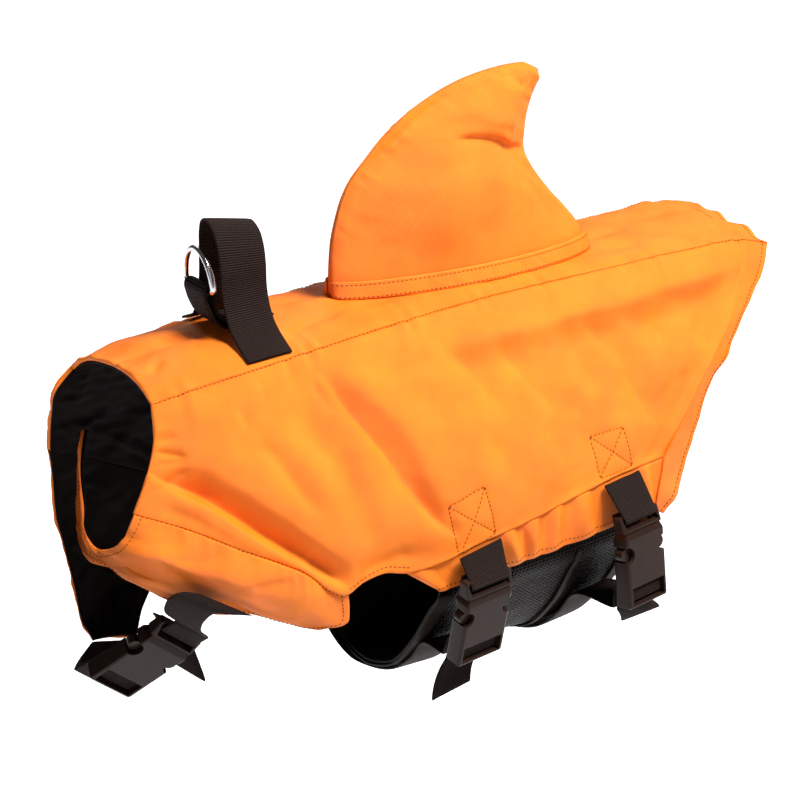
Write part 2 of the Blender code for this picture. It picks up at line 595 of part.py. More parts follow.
def chest_flap(side, name, depth_out, depth_in, count, shaped, parent, finish):
    """Flap below the chest seam, or its lining."""
    t = np.linspace(0, 1, CHEST_ROWS)
    s = np.linspace(0, 1, count)
    base = flap_points(side, *np.meshgrid(s, t, indexing="ij"))
    normals = grid_normals(base)
    normals[0] = chest_seam_normals(side, t)
    base[0] = base[0] + unit(base[1] - base[0]) * GAP
    outer = base - normals * depth_out
    if shaped:
        rim = np.linalg.norm(base - base[:, :1], axis=-1)
        low = np.linalg.norm(base - base[:, -1:], axis=-1)
        relief = np.minimum(eased(rim, NECK_RIM) + eased(low, LOW_RIM), FLAP_PAD - LINING)
        outer = outer - normals * relief[..., None]
    return wall(name, outer, base - normals * depth_in, parent, finish)


# ---------------------------------------------------------------- belly
def belly_points(x, turn, lift=0.0):
    """Net under the belly: turn -1 at the left hem, 1 at the right hem; lift moves it outwards."""
    data = table(SAG)
    knots = np.linspace(-1, 1, len(data))
    section = smooth(knots, data, turn)
    ahead = smooth(knots, data, np.clip(turn + 0.01, -1, 1)) - smooth(knots, data,
                                                                      np.clip(turn - 0.01, -1, 1))
    half = half_width(x, -0.1335 + 0 * x) - HEM_SET - CLOTH - 0.0009 - MESH / 2
    depth = smooth(table(BELLY)[:, 0], table(BELLY)[:, 1], x)
    normal = unit(np.stack([-ahead[..., 1] * depth, -ahead[..., 0] * half], -1))
    y = half * section[..., 0] + lift * normal[..., 0]
    z = BELLY_TOP - depth * section[..., 1] + lift * normal[..., 1]
    return np.stack([x + 0 * y, y, z], -1)


def belly_band(name, x_front, x_rear, lift, thickness, rows, cols, reach, parent, finish):
    x, turn = np.meshgrid(np.linspace(x_front, x_rear, cols), np.linspace(-1, 1, rows) * reach,
                          indexing="ij")
    slant = np.interp(turn, *np.array(BELLY_SLANT).T)
    x = x + slant * np.clip((0.200 - x) / 0.064, 0, 1)
    outer = belly_points(x, turn, lift + thickness / 2)
    inner = belly_points(x, turn, lift - thickness / 2)
    return wall(name, outer, inner, parent, finish)


# ---------------------------------------------------------------- fin
def fin_middle(rise, chord):
    """Middle plane of the fin: rise 0 base to 1 tip, chord 0 leading edge to 1 trailing edge."""
    lead = along(table(FIN_LEAD), rise)
    trail = along(table(FIN_TRAIL), rise)
    flat = lead * (1 - chord[..., None]) + trail * chord[..., None]
    y = FIN_SKEW * np.clip((flat[..., 0] - FIN_FRONT) / (FIN_REAR - FIN_FRONT), 0, 1) * (1 - rise)
    return np.stack([flat[..., 0], y, flat[..., 1]], -1)


def fin_half(rise, chord):
    """Half thickness: a lens along the chord, full at the base and thin at the tip."""
    lens = np.clip(4 * chord * (1 - chord), 0, 1)**0.62
    height = (1 - 0.62 * rise) * (1 - 0.25 * rise**4)
    return FIN_SEAM + (FIN_HALF - FIN_SEAM) * lens * height


def fin_face(side, name, parent):
    """One padded half of the fin, from the middle plane to its bulged face."""
    rise, chord = mesh_grid(15, 11)
    middle = fin_middle(rise, chord)
    face = middle.copy()
    face[..., 1] += side * fin_half(rise, chord)
    near = middle.copy()
    near[..., 1] += side * GAP / 2
    for grid in (face, near):
        floor = back_height(grid[..., 0], grid[..., 1]) + FIN_SEAT
        grid[..., 2] = np.where(rise == 0, floor, np.maximum(grid[..., 2], floor + 0.004 * rise))
    return wall(name, face, near, parent, SHELL)


def fin_band(side, name, parent):
    """Stitched band that holds the base of the fin to the back."""
    chord = np.linspace(0, 1, 15)
    low = fin_middle(0 * chord, chord)
    low[:, 1] += side * (fin_half(0 * chord, chord) + GAP)
    rows = []
    for step in (0.0, 1.0):
        row = low.copy()
        row[:, 1] += side * 0.0004 * (1 - step)
        row[:, 2] = back_height(row[:, 0], row[:, 1]) + FIN_SEAT + step * FIN_BAND
        rows.append(row)
    inner = np.stack(rows, 1)
    outer = inner.copy()
    outer[..., 1] += side * 0.0012
    outer[:, 0, 2] += 0.0002
    return wall(name, outer, inner, parent, SHELL)


# ---------------------------------------------------------------- handle and lead ring
def handle(parent):
    """Webbing sewn down at both seams; its rear edge leans to the left and lower at the top."""
    path = along(table(HANDLE), np.linspace(0, 1, 40))
    rise = (path[:, 1] / 0.0608)**2
    edges = []
    for k, share in ((-WEBBING_WIDTH / 2, 0.0), (WEBBING_WIDTH / 2, 1.0)):
        x = HANDLE_X + k + 0 * rise
        y = path[:, 0] + HANDLE_TWIST[0] * rise * share
        z = back_height(x, path[:, 0]) + path[:, 1] + HANDLE_TWIST[1] * rise * share
        edges.append(np.stack([x, y, z], -1))
    return ribbon("grab_handle", edges[0], edges[1], WEBBING, parent, BLACK_WEBBING)


def ring_loop(parent):
    """Webbing from the back, up round the ring's bar and down again."""
    bar_x, bar_z = RING_BAR[0], RING_BAR[2]
    hug = RING_WIRE + GAP + WEBBING / 2 + 0.0002
    floor = float(back_height(np.array(0.070), np.array(0.0))) + WEBBING / 2 + 2 * GAP
    second = floor + WEBBING + 2 * GAP
    up = [(0.0860, floor), (0.0740, floor), (0.0645, floor + 0.0003), (0.0580, 0.0165),
          (0.0533, 0.0210), (0.0504, 0.0270), (0.0488, 0.0330)]
    turn = [(bar_x + hug * math.cos(a), bar_z + hug * math.sin(a))
            for a in np.radians((180, 135, 90, 45, 0))]
    down = [(0.0537, 0.0330), (0.0536, 0.0275), (0.0556, 0.0225), (0.0600, second + 0.0020),
            (0.0660, second + 0.0004), (0.0740, second), (0.0860, second)]
    path = along(np.array(up + turn + down), np.linspace(0, 1, 44))
    edges = [np.stack([path[:, 0], RING_BAR[1] + k + 0 * path[:, 0], path[:, 1]], -1)
             for k in (-LOOP_HALF, LOOP_HALF)]
    return ribbon("ring_loop", edges[0], edges[1], WEBBING, parent, BLACK_WEBBING)


def lead_ring(parent):
    """D-shaped ring: a straight bar in the webbing loop and an arc above it."""
    corner = 0.0032
    points = []
    for y in np.linspace(-RING_HALF + corner, RING_HALF - corner, 7):
        points.append((y, 0.0))
    for a in np.radians(np.linspace(-65, 20, 4)):
        points.append((RING_HALF - corner + corner * math.cos(a), corner + corner * math.sin(a)))
    for a in np.radians(np.linspace(20, 160, 15)):
        points.append((RING_HALF * math.cos(a) / math.cos(math.radians(12)),
                       RING_RISE * math.sin(a)))
    for a in np.radians(np.linspace(160, 245, 4)):
        points.append((-RING_HALF + corner + corner * math.cos(a), corner + corner * math.sin(a)))
    points = np.array(points)
    steps = len(points)
    centre = np.stack([0 * points[:, 0], points[:, 0], points[:, 1]], -1)
    tangent = unit(np.roll(centre, -1, 0) - np.roll(centre, 1, 0))
    sideways = np.array([1.0, 0.0, 0.0])
    outward = np.cross(tangent, sideways)
    verts = []
    sides = 8
    for k in range(sides):
        a = 2 * math.pi * k / sides
        verts.append(centre + RING_WIRE * (math.cos(a) * sideways + math.sin(a) * outward))
    verts = np.stack(verts, 1).reshape(-1, 3)
    faces = []
    for i in range(steps):
        for k in range(sides):
            n = (i + 1) % steps
            faces.append((i * sides + k, i * sides + (k + 1) % sides,
                          n * sides + (k + 1) % sides, n * sides + k))
    return solid("lead_ring", verts, faces, parent, CHROME, sharp=3.0)


# ---------------------------------------------------------------- buckles
def buckle_frame(buckle):
    """A buckle's axes: x across, y towards the plug, z outwards; its middle lies under its face."""
    up = Vector(buckle.up).normalized()
    across = Vector(buckle.across)
    across = (across - up * across.dot(up)).normalized()
    out = across.cross(up)
    turn = Matrix((across, up, out)).transposed().to_4x4()
    return Matrix.Translation(Vector(buckle.face) - out * BUCKLE_THICK / 2) @ turn


def block(name, low, high):
    """Plain box between two corners, for the buckles' bodies and their cutters."""
    shape = bmesh.new()
    bmesh.ops.create_cube(shape, size=1.0)
    low = Vector(low)
    high = Vector(high)
    for vert in shape.verts:
        vert.co = Vector([low[k] + (high[k] - low[k]) * (vert.co[k] + 0.5) for k in range(3)])
    return placed(name, shape)


def disc(name, centre, radius, half, sides=16):
    shape = bmesh.new()
    bmesh.ops.create_cone(shape, cap_ends=True, segments=sides, radius1=radius, radius2=radius,
                          depth=2 * half, matrix=Matrix.Translation(centre))
    return placed(name, shape)


def placed(name, shape):
    mesh = bpy.data.meshes.new(name)
    shape.to_mesh(mesh)
    shape.free()
    made = bpy.data.objects.new(name, mesh)
    bpy.context.collection.objects.link(made)
    return made


def combine(target, tool, operation):
    step = target.modifiers.new(tool.name, "BOOLEAN")
    step.operation = operation
    step.solver = "EXACT"
    step.object = tool


def bevelled(target, width, segments):
    step = target.modifiers.new("soft_edges", "BEVEL")
    step.width = width
    step.segments = segments
    step.limit_method = "ANGLE"


def finished(target, tools):
    """The modelled mesh on its own, with the helper objects gone."""
    bpy.context.view_layer.update()
    graph = bpy.context.evaluated_depsgraph_get()
    mesh = bpy.data.meshes.new_from_object(target.evaluated_get(graph))
    for helper in [target] + tools:
        bpy.data.objects.remove(helper, do_unlink=True)
    shape = bmesh.new()
    shape.from_mesh(mesh)
    bmesh.ops.remove_doubles(shape, verts=shape.verts, dist=2e-6)
    bmesh.ops.dissolve_degenerate(shape, edges=shape.edges, dist=2e-6)
    bmesh.ops.triangulate(shape, faces=shape.faces, ngon_method="EAR_CLIP")
    shape.to_mesh(mesh)
    shape.free()
    mesh.shade_smooth()
    mesh.set_sharp_from_angle(angle=0.6)
    return mesh


def socket_mesh():
    """Female half: a mouth for the prongs, a window each side, a bar for the webbing."""
    half = BUCKLE_THICK / 2
    body = block("socket", (-BUCKLE_HALF, SOCKET[0], -half), (BUCKLE_HALF, SOCKET[1], half))
    bevelled(body, 0.0018, 2)
    slot = SLOT_HALF - 0.0001
    cuts = [
        block("mouth", (-0.0125, -0.0060, -0.0030), (0.0125, 0.0300, 0.0030)),
        block("recess", (-SLOT_HALF, -0.0262, 0.0008), (SLOT_HALF, -0.0160, 0.02)),
        block("slot_a", (-slot, -0.0186, -0.02), (slot, -0.0161, 0.015)),
        block("slot_b", (-slot, -0.0261, -0.02), (slot, -0.0237, 0.015)),
        disc("window_l", (-WINDOW[0], WINDOW[1], 0), WINDOW[2], 0.02),
        disc("window_r", (WINDOW[0], WINDOW[1], 0), WINDOW[2], 0.02),
    ]
    for cut in cuts:
        combine(body, cut, "DIFFERENCE")
    return finished(body, cuts)


def plug_mesh():
    """Male half: a frame for the webbing and two prongs whose tips fill the windows."""
    body = block("plug", (-BUCKLE_HALF, PLUG[0], -0.0045), (BUCKLE_HALF, PLUG[1], 0.0045))
    bevelled(body, 0.0012, 1)
    tools = [block("opening", (-SLOT_HALF, 0.0176, -0.02), (SLOT_HALF, 0.0228, 0.02)),
             block("rail", (-SLOT_HALF - 0.0001, 0.0220, 0.0008), (SLOT_HALF + 0.0001, 0.03, 0.019))]
    for cut in tools:
        combine(body, cut, "DIFFERENCE")
    for side in (-1, 1):
        near, far = sorted((side * 0.0082, side * 0.0118))
        arm = block("arm", (near, 0.0020, -0.0022), (far, 0.0160, 0.0022))
        tip = disc("tip", (side * 0.0143, WINDOW[1], 0), WINDOW[2] - 0.0010, 0.0025)
        for tool in (arm, tip):
            combine(body, tool, "UNION")
            tools.append(tool)
    return finished(body, tools)


def buckle_pieces(buckle, socket, plug, parent):
    """Side-release buckle, fastened."""
    holder = empty("buckle_" + buckle.name, (0.0, 0.0, 0.0), parent)
    holder.matrix_local = buckle_frame(buckle)
    for mesh, part in ((socket, "_socket"), (plug, "_plug")):
        made = bpy.data.objects.new(holder.name + part, mesh.copy())
        made.data.materials.clear()
        made.data.materials.append(material(made.name + "_finish", *NYLON))
        made.parent = holder
        bpy.context.collection.objects.link(made)


# ---------------------------------------------------------------- straps
def rounded(points, radius=BEND, steps=4):
    """A path of straight runs whose corners are arcs."""
    points = np.asarray(points, float)
    path = [points[0]]
    for before, corner, after in zip(points[:-2], points[1:-1], points[2:]):
        back = unit(before - corner)
        ahead = unit(after - corner)
        turn = math.pi - math.acos(float(np.clip(np.dot(back, ahead), -1, 1)))
        cut = radius * math.tan(turn / 2)
        centre = corner + unit(back + ahead) * radius / math.cos(turn / 2)
        start = corner + back * cut - centre
        end = corner + ahead * cut - centre
        for t in np.linspace(0, 1, steps):
            spread = (math.sin((1 - t) * turn) * start + math.sin(t * turn) * end) / math.sin(turn)
            path.append(centre + spread)
    path.append(points[-1])
    return np.array(path)


def in_buckle(buckle, rows):
    """The two edges of webbing whose middle is given in a buckle's own y, z."""
    frame = buckle_frame(buckle)
    half = WEBBING_WIDTH / 2
    return [np.array([frame @ Vector((k, y, z)) for y, z in rows]) for k in (-half, half)]


def joined(lead, exact, count):
    """A smooth lead that runs into an exact path, sampled with count rows before it."""
    knots = np.concatenate([lead, exact[:1]])
    return np.concatenate([along(knots, np.linspace(0, 1, count))[:-1], exact])


def tail_rows(start, before, end, count=5):
    """Hanging free end: leaves in the direction it had and bends towards its cut end."""
    t = np.linspace(0, 1, count)[1:, None]
    reach = np.linalg.norm(end - start) * 0.4
    middle = start + unit(start - before) * reach
    return (1 - t)**2 * start + 2 * t * (1 - t) * middle + t**2 * end


def over_hem(side, x, share, out):
    """Points on the outside of a hem strip, share 0 at the fold line to 1 at the hem."""
    fold = smooth(table(FOLD_LINE)[:, 0], table(FOLD_LINE)[:, 1], x)
    hem = smooth(table(HEM)[:, 0], table(HEM)[:, 1], x)
    point = on_side(side, x, fold - 0.0014 + (hem - fold) * share)
    point[..., 1] += side * (out - HEM_SET + 0.0010)
    return point


def upper_strap(buckle, sewn_x, parent):
    """From under the shell's fold line, over the hem strip, round the plug's frame."""
    out = 2 * GAP + WEBBING / 2
    exact = in_buckle(buckle, rounded(PLUG_PATH))
    edges = []
    for k, end in zip((-WEBBING_WIDTH / 2, WEBBING_WIDTH / 2), exact):
        x = sewn_x + k + 0.12 * (end[0, 0] - sewn_x - k) * np.array([0.0, 1.0])
        lead = over_hem(-1, x, np.array([0.0, 0.16]), out)
        edges.append(joined(lead, end, 6))
    return ribbon("strap_" + buckle.name + "_upper", edges[0], edges[1], WEBBING, parent, BLACK_WEBBING)


def lower_strap(buckle, sewn_x, parent):
    """From the right hem under the belly, round the socket's bar, and the free end."""
    out = GAP + WEBBING / 2
    lift = MESH / 2 + 2 * GAP + TAPE + WEBBING / 2 + 0.0007
    exact = in_buckle(buckle, rounded(SOCKET_PATH))
    turn = np.array([0.72, 0.60, 0.45, 0.28, 0.10, -0.08])
    edges = []
    for k, end, cut in zip((-WEBBING_WIDTH / 2, WEBBING_WIDTH / 2), exact, TAILS[buckle.name]):
        x = sewn_x + k
        side = over_hem(1, x + 0 * turn[:4], np.array([0.0, 0.35, 0.7, 0.95]), out)
        under_x = x + (end[0, 0] - x) * np.linspace(0, 0.7, len(turn))
        under = belly_points(under_x, turn, lift)
        edge = joined(np.concatenate([side, under]), end, 34)
        edges.append(np.concatenate([edge, tail_rows(edge[-1], edge[-2], np.array(cut))]))
    return ribbon("strap_" + buckle.name + "_lower", edges[0], edges[1], WEBBING, parent, BLACK_WEBBING)


def chest_upper(buckle, parent):
    """Sewn on the left flap, twisting down to the plug's frame; its free end hangs behind."""
    exact = in_buckle(buckle, rounded(CHEST_PLUG_PATH))
    edges = []
    for lead, end, cut in zip((CHEST_HIGH, CHEST_LOW), exact, TAILS[buckle.name]):
        edge = joined(np.array(lead), end, 12)
        edges.append(np.concatenate([edge, tail_rows(edge[-1], edge[-2], np.array(cut))]))
    return ribbon("strap_chest_upper", edges[0], edges[1], WEBBING, parent, BLACK_WEBBING)


def chest_lower(buckle, parent):
    """From the lower end of the right flap, round the socket's bar."""
    exact = in_buckle(buckle, rounded(CHEST_SOCKET_PATH))
    flap = flap_points(1, *np.meshgrid(np.linspace(0.9, 1, 4), np.linspace(0, 1, 9), indexing="ij"))
    middle = flap - grid_normals(flap) * FLAP_PAD / 2
    edges = []
    for at, end in zip((0, -1), exact):
        start = middle[-1, at] + unit(middle[-1, at] - middle[-2, at]) * 0.0012
        mid = start * 0.6 + end[0] * 0.4 + np.array([-0.002, 0.002, -0.003])
        edges.append(joined(np.stack([start, mid]), end, 9))
    return ribbon("strap_chest_lower", edges[0], edges[1], WEBBING, parent, BLACK_WEBBING)


# ---------------------------------------------------------------- assembly
def empty(name, location, parent=None):
    made = bpy.data.objects.new(name, None)
    made.location = location
    made.parent = parent
    bpy.context.collection.objects.link(made)
    return made


def build():
    for old in list(bpy.data.objects):
        bpy.data.objects.remove(old, do_unlink=True)
    socket = socket_mesh()
    plug = plug_mesh()
    jacket = empty("jacket", tuple(-k for k in CARRIED_AT))

    under = PAD + GAP
    back_panel("back_panel", 0.0, PAD, True, jacket, SHELL)
    back_panel("back_lining", under, under + LINING, False, jacket, SATIN_LINING)
    for side, tag in ((-1, "left"), (1, "right")):
        side_panel(side, "side_panel_" + tag, 0.0, PAD, True, jacket, SHELL)
        side_panel(side, "side_lining_" + tag, under, under + LINING, False, jacket, SATIN_LINING)
        hem_strip(side, "hem_strip_" + tag, jacket)
        side_flange(side, "rear_flange_" + tag, jacket)
    back_flange("rear_flange_back", jacket)

    under = FLAP_PAD + GAP
    for side, tag, count in ((-1, "left", 20), (1, "right", 13)):
        chest_flap(side, "chest_flap_" + tag, 0.0, FLAP_PAD, count, True, jacket, SHELL)
        chest_flap(side, "chest_lining_" + tag, under, under + LINING, count, False, jacket,
                   SATIN_LINING)

    belly_band("belly_net", BELLY_FRONT, BELLY_REAR, 0.0, MESH, 25, 8, 1.0, jacket, NET)
    lift = MESH / 2 + GAP + TAPE / 2
    for name, start in (("belly_tape_front", BELLY_FRONT - 0.001),
                        ("belly_tape_rear", BELLY_REAR - BELLY_TAPE + 0.001)):
        belly_band(name, start, start + BELLY_TAPE, lift, TAPE, 21, 2, 0.82, jacket, BLACK_WEBBING)

    for side, tag in ((-1, "left"), (1, "right")):
        fin_face(side, "fin_face_" + tag, jacket)
        fin_band(side, "fin_band_" + tag, jacket)

    handle(jacket)
    ring_loop(jacket)
    pivot = empty("ring_pivot", RING_BAR, jacket)
    lead_ring(pivot)

    for buckle in BUCKLES:
        buckle_pieces(buckle, socket, plug, jacket)
    front, rear, chest = BUCKLES
    upper_strap(front, SEWN_FRONT, jacket)
    upper_strap(rear, SEWN_REAR, jacket)
    lower_strap(front, SEWN_FRONT, jacket)
    lower_strap(rear, SEWN_REAR, jacket)
    chest_upper(chest, jacket)
    chest_lower(chest, jacket)


build()
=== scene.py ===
"""Dog life jacket: cloth, webbing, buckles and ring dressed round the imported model.

Lengths are metres, in the tables millimetres.  Places are counted from the neck end of the back
seams, x along the spine to the tail, -y to the dog's left, z up, and every mesh is moved by
-CARRIED_AT into the model's frame.  A side is -1 for the left and 1 for the right.
"""

import math
from collections import namedtuple

import bmesh
import bpy
import numpy as np
from mathutils import Matrix, Vector


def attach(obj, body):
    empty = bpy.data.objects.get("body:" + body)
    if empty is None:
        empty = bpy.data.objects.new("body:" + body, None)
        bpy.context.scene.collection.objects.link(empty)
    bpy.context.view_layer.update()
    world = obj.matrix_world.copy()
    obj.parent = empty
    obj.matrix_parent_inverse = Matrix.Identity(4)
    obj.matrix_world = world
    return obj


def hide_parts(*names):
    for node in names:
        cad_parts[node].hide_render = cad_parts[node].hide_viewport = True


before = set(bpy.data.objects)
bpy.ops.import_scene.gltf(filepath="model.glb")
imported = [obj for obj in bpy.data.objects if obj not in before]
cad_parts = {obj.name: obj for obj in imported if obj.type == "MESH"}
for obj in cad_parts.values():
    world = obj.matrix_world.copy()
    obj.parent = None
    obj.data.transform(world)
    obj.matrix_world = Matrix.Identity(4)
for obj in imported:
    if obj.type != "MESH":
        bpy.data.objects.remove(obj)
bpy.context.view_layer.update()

# ---------------------------------------------------------------- the jacket's own sizes
MM = 0.001
BACK_LENGTH, HALF_BACK = 0.381, 0.046
PAD, FLAP_PAD = 0.0060, 0.0042
LINING, CLOTH, MESH, TAPE = 0.0012, 0.0020, 0.0016, 0.0012
HEM_SET, FLANGE_SET, FLANGE_GAP = 0.0032, 0.0024, 0.0014
GAP = 0.0003
WEBBING_WIDTH, WEBBING = 0.0250, 0.0016
REAR_SKEW = 0.010
CARRIED_AT = np.array((0.190, 0.0, 0.0045))
SIDES = ((-1, "left"), (1, "right"))

# half widths of the body at four depths under the back seams
DEPTHS = (0.0, 0.050, 0.100, 0.135)
Section = namedtuple("Section", "x seam shoulder side hem")
SECTIONS = (
    Section(-40, 44, 56, 56, 48), Section(0, 46, 64, 68, 60), Section(80, 47, 74, 84, 80),
    Section(160, 47, 80, 92, 90), Section(240, 46, 77, 89, 87), Section(310, 43, 69, 80, 78),
    Section(395, 40, 59, 69, 67),
)
# the back between its seams: their height, the arch's rise and squareness, the right seam's lift
Spine = namedtuple("Spine", "x seam_z arch square right_lift")
SPINE = (
    Spine(0, 0, 12.8, 3.2, -3), Spine(75, 3, 10.4, 2.6, 0), Spine(133, 5, 8, 2.2, 0),
    Spine(196, 6, 7, 2, 0), Spine(276, 4, 6, 2, 0), Spine(340, 1.5, 4.6, 2, 2.2),
    Spine(381, -1.5, 3, 2, 4.5), Spine(396, -6, 1.8, 2, 5),
)
# how deep the padding thins towards a free edge, and over what distance
Rim = namedtuple("Rim", "depth reach")
NECK_RIM, LOW_RIM, REAR_RIM = Rim(0.0032, 0.024), Rim(0.0020, 0.030), Rim(0.0019, 0.032)

# edges of the cut pieces in side view
Edge = namedtuple("Edge", "x z")
NECK_LEFT = (Edge(0, 0), Edge(-4, -17), Edge(-11, -31), Edge(-23, -51))
NECK_RIGHT = (Edge(-6, 0), Edge(-17, -14), Edge(-19, -28), Edge(-21, -51))
CHEST_SEAM = (Edge(-3, -61), Edge(25, -79), Edge(55, -98), Edge(80, -118))
LEG_TOP = (Edge(91, -113.5), Edge(102, -112))
FOLD_LINE = (
    Edge(113, -115), Edge(134, -114.5), Edge(158, -110), Edge(194, -105), Edge(221, -101.5),
    Edge(254, -98.5), Edge(289, -99.5),
)
PAD_END = (
    Edge(381, -1.5), Edge(379, -11), Edge(368, -23), Edge(353, -41), Edge(340, -51), Edge(312, -75),
    Edge(299, -88), Edge(289, -99.5),
)
HEM = (
    Edge(134, -133), Edge(145, -132), Edge(175, -130), Edge(221, -129.5), Edge(247, -129),
    Edge(280, -129),
)
FLANGE_INNER_END = (Edge(286, -114), Edge(280, -129))
FLANGE_OUTER = (
    Edge(395, -6), Edge(390, -16), Edge(377, -28), Edge(348, -54), Edge(325, -73), Edge(307, -100),
    Edge(297, -123), Edge(287, -134),
)

# chest flaps: the two ends of a line across the flap and how far it bows, from the seam to the tip
Flap = namedtuple("Flap", "ax ay az bx by bz bulge")
LEFT_FLAP = (
    Flap(-23, -60, -51, 80, -83, -118, 0), Flap(-25, -60, -54, 79, -80, -137, 3),
    Flap(-27, -59.5, -57, 55, -75, -134, 5), Flap(-29, -58.5, -60, 29, -69, -120, 6),
    Flap(-31, -57, -63, 10, -66, -115, 6), Flap(-34, -53, -67, -13, -61, -102, 5),
    Flap(-36, -47, -70, -24, -54, -93, 4), Flap(-38, -37, -73, -34, -43, -86, 3),
    Flap(-38, -25, -71, -40, -29, -83, 2), Flap(-36, -14.5, -68, -40, -15, -78, 1),
    Flap(-33, -6.5, -60.1, -33, 0, -69, 0), Flap(-28.4, 5, -50, -27, 11, -59, 0),
    Flap(-22.6, 15.2, -42.7, -21, 20, -50, 0), Flap(-14, 27, -34.1, -13, 30, -38, 0),
)
RIGHT_FLAP = (
    Flap(-21, 60, -51, 80, 83, -118, 0), Flap(-20, 61.5, -62, 79, 80, -137, 3),
    Flap(-20.5, 62, -73, 60, 77, -142, 4), Flap(-22.5, 60, -95, 42, 71, -149, 5),
    Flap(-22, 56, -112, 30, 63, -156, 5), Flap(-22, 48, -134, 20, 53, -162, 4),
    Flap(-22.5, 41, -151, 12, 41, -166, 2), Flap(-18, 36, -161, 6, 32, -168, 0),
)

# the net's section as shares of its half width and depth, and its depth along the body
Sag = namedtuple("Sag", "across depth")
SAG = (
    Sag(-1, 0), Sag(-0.99, 0.11), Sag(-0.94, 0.19), Sag(-0.83, 0.29), Sag(-0.68, 0.45),
    Sag(-0.53, 0.6), Sag(-0.26, 0.81), Sag(0, 0.92), Sag(0.25, 0.98), Sag(0.5, 1), Sag(0.71, 0.94),
    Sag(0.87, 0.76), Sag(0.965, 0.48), Sag(1, 0.2), Sag(1, 0),
)
Belly = namedtuple("Belly", "x depth")
BELLY = (Belly(130, 95), Belly(164, 97), Belly(210, 99), Belly(250, 102), Belly(285, 97))
BELLY_TOP, BELLY_FRONT, BELLY_REAR = -0.124, 0.136, 0.277
BELLY_TAPE, BELLY_SEAM = 0.008, 0.0030
# how far the net's front edge slants back at each share of its section
Slant = namedtuple("Slant", "turn back")
BELLY_SLANT = (Slant(-1, 0), Slant(-0.3, 1), Slant(0.1, 5), Slant(0.5, 15), Slant(0.8, 19), Slant(1, 16))
NET_STRAND, NET_HOLE, NET_THREAD = 0.0011, 0.0015, 0.0007

FIN_LEAD = (
    Edge(128, 11), Edge(128.5, 21), Edge(130, 33), Edge(135, 53), Edge(145, 73), Edge(158, 85),
    Edge(170, 95), Edge(183, 103), Edge(197, 109), Edge(214, 114), Edge(233, 117), Edge(252, 117.5),
    Edge(260, 116.8),
)
FIN_TRAIL = (
    Edge(288, 9), Edge(287, 15), Edge(285, 21), Edge(278, 32), Edge(267, 46), Edge(258.5, 60),
    Edge(255, 69), Edge(256, 80), Edge(259, 91), Edge(263, 99), Edge(266.5, 103.5), Edge(269, 107),
    Edge(268, 111),
)
FIN_FRONT, FIN_REAR = 0.128, 0.288
FIN_HALF, FIN_SEAM, FIN_SEAT = 0.0200, 0.0012, 0.0008
FIN_SKEW, FIN_BAND, FIN_ROUND = -0.010, 0.0075, 0.62

HANDLE_X, HANDLE_TOP = 0.0680, 0.0608
Lift = namedtuple("Lift", "y lift")
HANDLE = (
    Lift(-42.5, 1.1), Lift(-37, 1.6), Lift(-32, 2.8), Lift(-26, 6.2), Lift(-21.5, 14.2),
    Lift(-20, 24.9), Lift(-20.8, 38.2), Lift(-19.2, 51.1), Lift(-17, 56), Lift(-12.5, 59.5),
    Lift(-8, 60.8), Lift(-3.5, 58.5), Lift(-1, 53.7), Lift(1, 44.7), Lift(2.2, 38.7),
    Lift(4.5, 27.8), Lift(8.5, 17), Lift(13, 8.5), Lift(18.5, 3), Lift(25, 1.2), Lift(32, 1.1),
)
HANDLE_TWIST = (-0.0020, -0.0055)
RING_BAR = (0.0513, -0.0030, 0.0370)
RING_WIRE, RING_HALF, RING_RISE, RING_CORNER = 0.0016, 0.0153, 0.0212, 0.0032
LOOP_HALF = 0.0115

# a buckle's face middle, and its unit directions towards the plug and across
BUCKLE_THICK, BEND = 0.0110, 0.0012
Buckle = namedtuple("Buckle", "name face up across")
BUCKLES = (
    Buckle("front", (154.9, -97.5, -149.9), (0.071, -0.253, 0.965), (0.988, 0.149, -0.033)),
    Buckle("rear", (258.8, -100.5, -143.3), (0.04, 0.098, 0.994), (0.97, 0.234, -0.062)),
    Buckle("chest", (-13.6, -31, -148), (0.647, -0.512, 0.565), (0.714, 0.147, -0.684)),
)
MOUTH = (0.0130, 0.0148)
POST_FROM, POST_TOP = 0.0180, 0.0012
SEWN = {"front": 0.1570, "rear": 0.2535}
# webbing through a buckle, in the buckle's own y towards the plug and z outwards
PLUG_PATH = ((31, 3.2), (20.5, 2.2), (20.5, -6.2), (24.5, -6.4))
UPPER_START = (22.4, 2.8)
SOCKET_PATH = ((-30, -10.5), (-17.2, -8), (-17.2, 2.1), (-25, 2.1), (-25, -6.8), (-31, -7.4))
CHEST_PLUG_PATH = ((31, 3.2), (20.5, 2.2), (20.5, -7), (18, -10))
CHEST_SOCKET_PATH = ((-38, -9), (-25, -7.2), (-25, 2.1), (-17.2, 2.1), (-17.2, -6.6), (-11, -7))
# corners of the free ends, and the two edges of the chest strap before its buckle
TAILS = {
    "front": ((127.6, -80, -197.6), (151.8, -80, -194)),
    "rear": ((249, -88, -185.3), (276.5, -86, -185.9)),
    "chest": ((4.1, -9.8, -158.6), (17.7, -30, -169.8)),
}
CHEST_HIGH = ((1.8, -72.9, -97), (-8, -72.2, -93), (-13.2, -68.6, -95.5), (-14.2, -62.2, -102.8))
CHEST_LOW = (
    (27, -76, -115.7), (16.1, -75.4, -111.6), (7.6, -72.2, -109.5), (4.6, -65.5, -115.6),
    (5.8, -57.5, -124),
)

# boxed crosses stitched over the strap ends that are sewn inside the side panels
Box = namedtuple("Box", "a b c d")
STITCHED_BOXES = (
    Box((140.4, -83.5), (163.8, -78.7), (168.3, -106.3), (144.9, -114.8)),
    Box((238.1, -72.1), (261.9, -73.4), (264.5, -96.3), (240.8, -97)),
)
